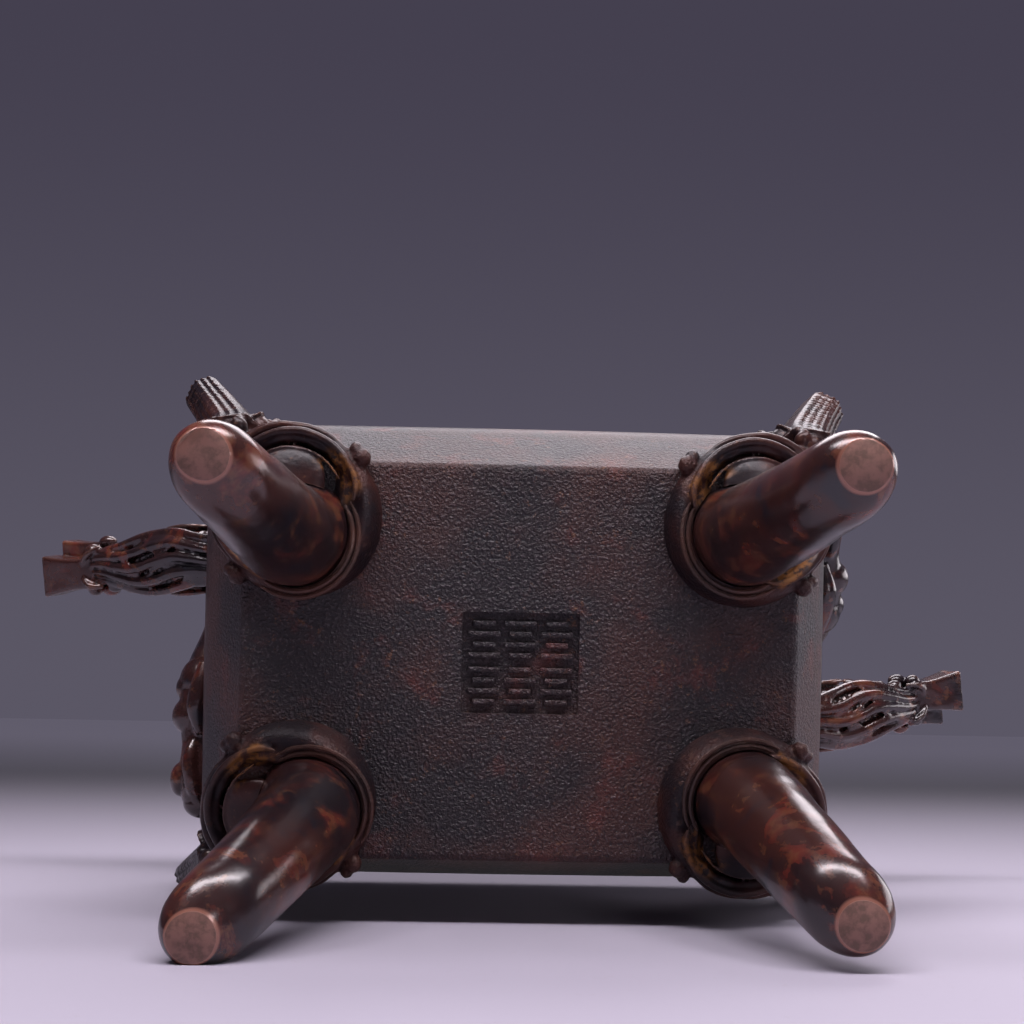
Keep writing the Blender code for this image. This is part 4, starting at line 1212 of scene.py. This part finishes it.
@dataclass(frozen=True)
class Lamp:
    """One soft rectangular light that is aimed at the burner."""

    name: str
    place: Point
    size: tuple[float, float]
    power: float
    colour: Colour = (1.0, 0.94, 1.0)

    def build(self) -> None:
        """Hang the light."""
        data = bpy.data.lights.new(self.name, "AREA")
        data.shape = "RECTANGLE"
        data.size, data.size_y = self.size
        data.energy = self.power
        data.color = self.colour
        lamp = bpy.data.objects.new(self.name, data)
        lamp.location = self.place
        aim = Vector((0.0, 0.0, 0.05)) - Vector(self.place)
        lamp.rotation_euler = aim.to_track_quat("-Z", "Y").to_euler()
        bpy.context.scene.collection.objects.link(lamp)


@dataclass
class Studio:
    """The camera below the plate, the pale table that the burner lies on, and soft lights."""

    camera_at: Point = (0.0133, 0.0272, -0.272)
    lens_mm: float = 62.55
    aim_x: float = -0.035
    roll: float = 1.3
    table_at: Point = (0.0, -0.0433, 0.005)
    table_tilt: float = 5.23
    backdrop_z: float = 1.25
    pale: Colour = (0.385, 0.356, 0.428)
    # Painted glow colours, given off by the far table and the backdrop themselves.
    painted_dusk_glow: Colour = (0.104, 0.095, 0.130)
    painted_night_glow: Colour = (0.058, 0.051, 0.078)
    black: Colour = (0.0, 0.0, 0.0)

    def camera(self) -> None:
        """The main view: from under the feet, square to the plate."""
        ahead = Vector((self.aim_x, 0.0, 1.0)).normalized()
        right = Vector((-ahead.z, 0.0, ahead.x))
        up = right.cross(ahead)
        turn = Matrix((right, up, -ahead)).transposed()
        data = bpy.data.cameras.new("camera")
        data.lens = self.lens_mm
        data.sensor_width = 36.0
        data.clip_start = 0.01
        camera = bpy.data.objects.new("camera", data)
        camera.matrix_world = (Matrix.Translation(self.camera_at) @ turn.to_4x4()
                               @ Matrix.Rotation(math.radians(self.roll), 4, "Z"))
        bpy.context.scene.collection.objects.link(camera)
        bpy.context.scene.camera = camera

    def _sheet(self, name: str, size: tuple[float, float], place: Matrix,
               material: bpy.types.Material) -> bpy.types.Object:
        """A flat stage piece that casts no shadow."""
        bpy.ops.mesh.primitive_plane_add(size=1.0)
        sheet = bpy.context.object
        sheet.name = name
        sheet.data.transform(place @ Matrix.Diagonal((*size, 1.0, 1.0)))
        sheet.data.materials.append(material)
        sheet.visible_shadow = False
        return sheet

    def _table_skin(self) -> bpy.types.Material:
        """A pale table with painted light falloff: its colour darkens with distance, and a painted glow that
        grows with distance fades it into the backdrop.
        """
        graph = Graph("table_pale_painted_falloff")
        away = graph.axis(2)
        dust = graph.noise(2.2, 4.0, 0.7).ramp(0.62, 0.74) * 0.12
        # Painted light falloff: the pale colour darkens to near black with distance.
        near = graph.blend(away.ramp(0.02, 0.52), self.pale, (0.02, 0.02, 0.02))
        near = graph.blend(dust, near, (0.30, 0.25, 0.26))
        # Painted glow: the table glows by itself more and more with distance, up to the backdrop's glow.
        painted_glow = graph.blend(away.ramp(0.12, 0.95), self.black, self.painted_dusk_glow)
        return graph.only_from_front(graph.principled(Base_Color=near, Roughness=0.6, Specular_IOR_Level=0.15,
                                                      Emission_Color=painted_glow, Emission_Strength=1.0))

    def _backdrop_skin(self) -> bpy.types.Material:
        """A backdrop that only glows by itself, with painted light that is lighter towards the table."""
        graph = Graph("backdrop_painted_glow")
        # Painted glow: lighter low down near the table, darker higher up.
        painted_glow = graph.blend(graph.axis(1).ramp(-0.16, 0.46), self.painted_dusk_glow, self.painted_night_glow)
        return graph.only_from_front(graph.principled(Base_Color=(*self.black, 1.0), Roughness=1.0,
                                                      Specular_IOR_Level=0.0, Emission_Color=painted_glow,
                                                      Emission_Strength=1.0))

    def _floor_skin(self) -> bpy.types.Material:
        """A plain pale floor."""
        graph = Graph("floor_pale")
        return graph.only_from_front(graph.principled(Base_Color=(0.42, 0.40, 0.46, 1.0), Roughness=0.8))

    def stage(self) -> None:
        """The table that the burner lies on, its backdrop, and the floor that it stands on."""
        lie = (Matrix.Translation(self.table_at) @ Matrix.Rotation(math.radians(self.table_tilt), 4, "X")
               @ Matrix.Rotation(math.radians(-90.0), 4, "X") @ Matrix.Translation((0.0, -0.45, 0.0)))
        self._sheet("table", (4.0, 1.7), lie, self._table_skin())
        self._sheet("backdrop", (6.0, 3.0), Matrix.Translation((0.0, 1.2, self.backdrop_z))
                    @ Matrix.Rotation(math.pi, 4, "X"), self._backdrop_skin())
        floor = self._sheet("floor", (6.0, 6.0), Matrix.Translation((0.0, 0.0, -0.0002)), self._floor_skin())
        floor.visible_glossy = False
        floor.visible_diffuse = False

    def lights(self) -> Iterator[Lamp]:
        """Softboxes above the lying burner, behind it and beside it, and a small one by the camera."""
        yield Lamp("key", (0.00, 0.58, -0.07), (0.80, 0.14), 6.8)
        yield Lamp("rear", (-0.08, 0.45, 0.54), (0.60, 0.26), 3.2)
        yield Lamp("side", (-0.58, 0.12, 0.30), (0.20, 0.50), 1.2)
        yield Lamp("window", (-0.30, 0.18, -0.60), (0.12, 0.12), 0.6)
        yield Lamp("low", (0.00, -0.60, 0.70), (0.40, 0.40), 0.6)

    def build(self) -> None:
        """Set up camera, stage and lights."""
        self.camera()
        self.stage()
        for lamp in self.lights():
            lamp.build()
        world = bpy.data.worlds.new("room")
        world.use_nodes = True
        world.node_tree.nodes["Background"].inputs[0].default_value = (0.30, 0.28, 0.36, 1.0)
        world.node_tree.nodes["Background"].inputs[1].default_value = 0.14
        bpy.context.scene.world = world
        bpy.context.scene.view_settings.view_transform = "Standard"


def main() -> None:
    """Build the burner's looks."""
    logging.basicConfig(level=logging.INFO, format="%(message)s")
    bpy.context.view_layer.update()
    leg, bowl = Leg(), Bowl()
    Studio().build()
    bowl.build(Patina("sandy_copper", Skin.SANDY).material())
    leg.build(Patina("leg_copper", Skin.BURNISHED).material())
    Mask(leg, bowl).build(Patina("carved_copper", Skin.CARVED).material())
    Dragon().build(Patina("dragon_copper", Skin.BURNISHED).material(), bowl)


if __name__ == "__main__":
    main()
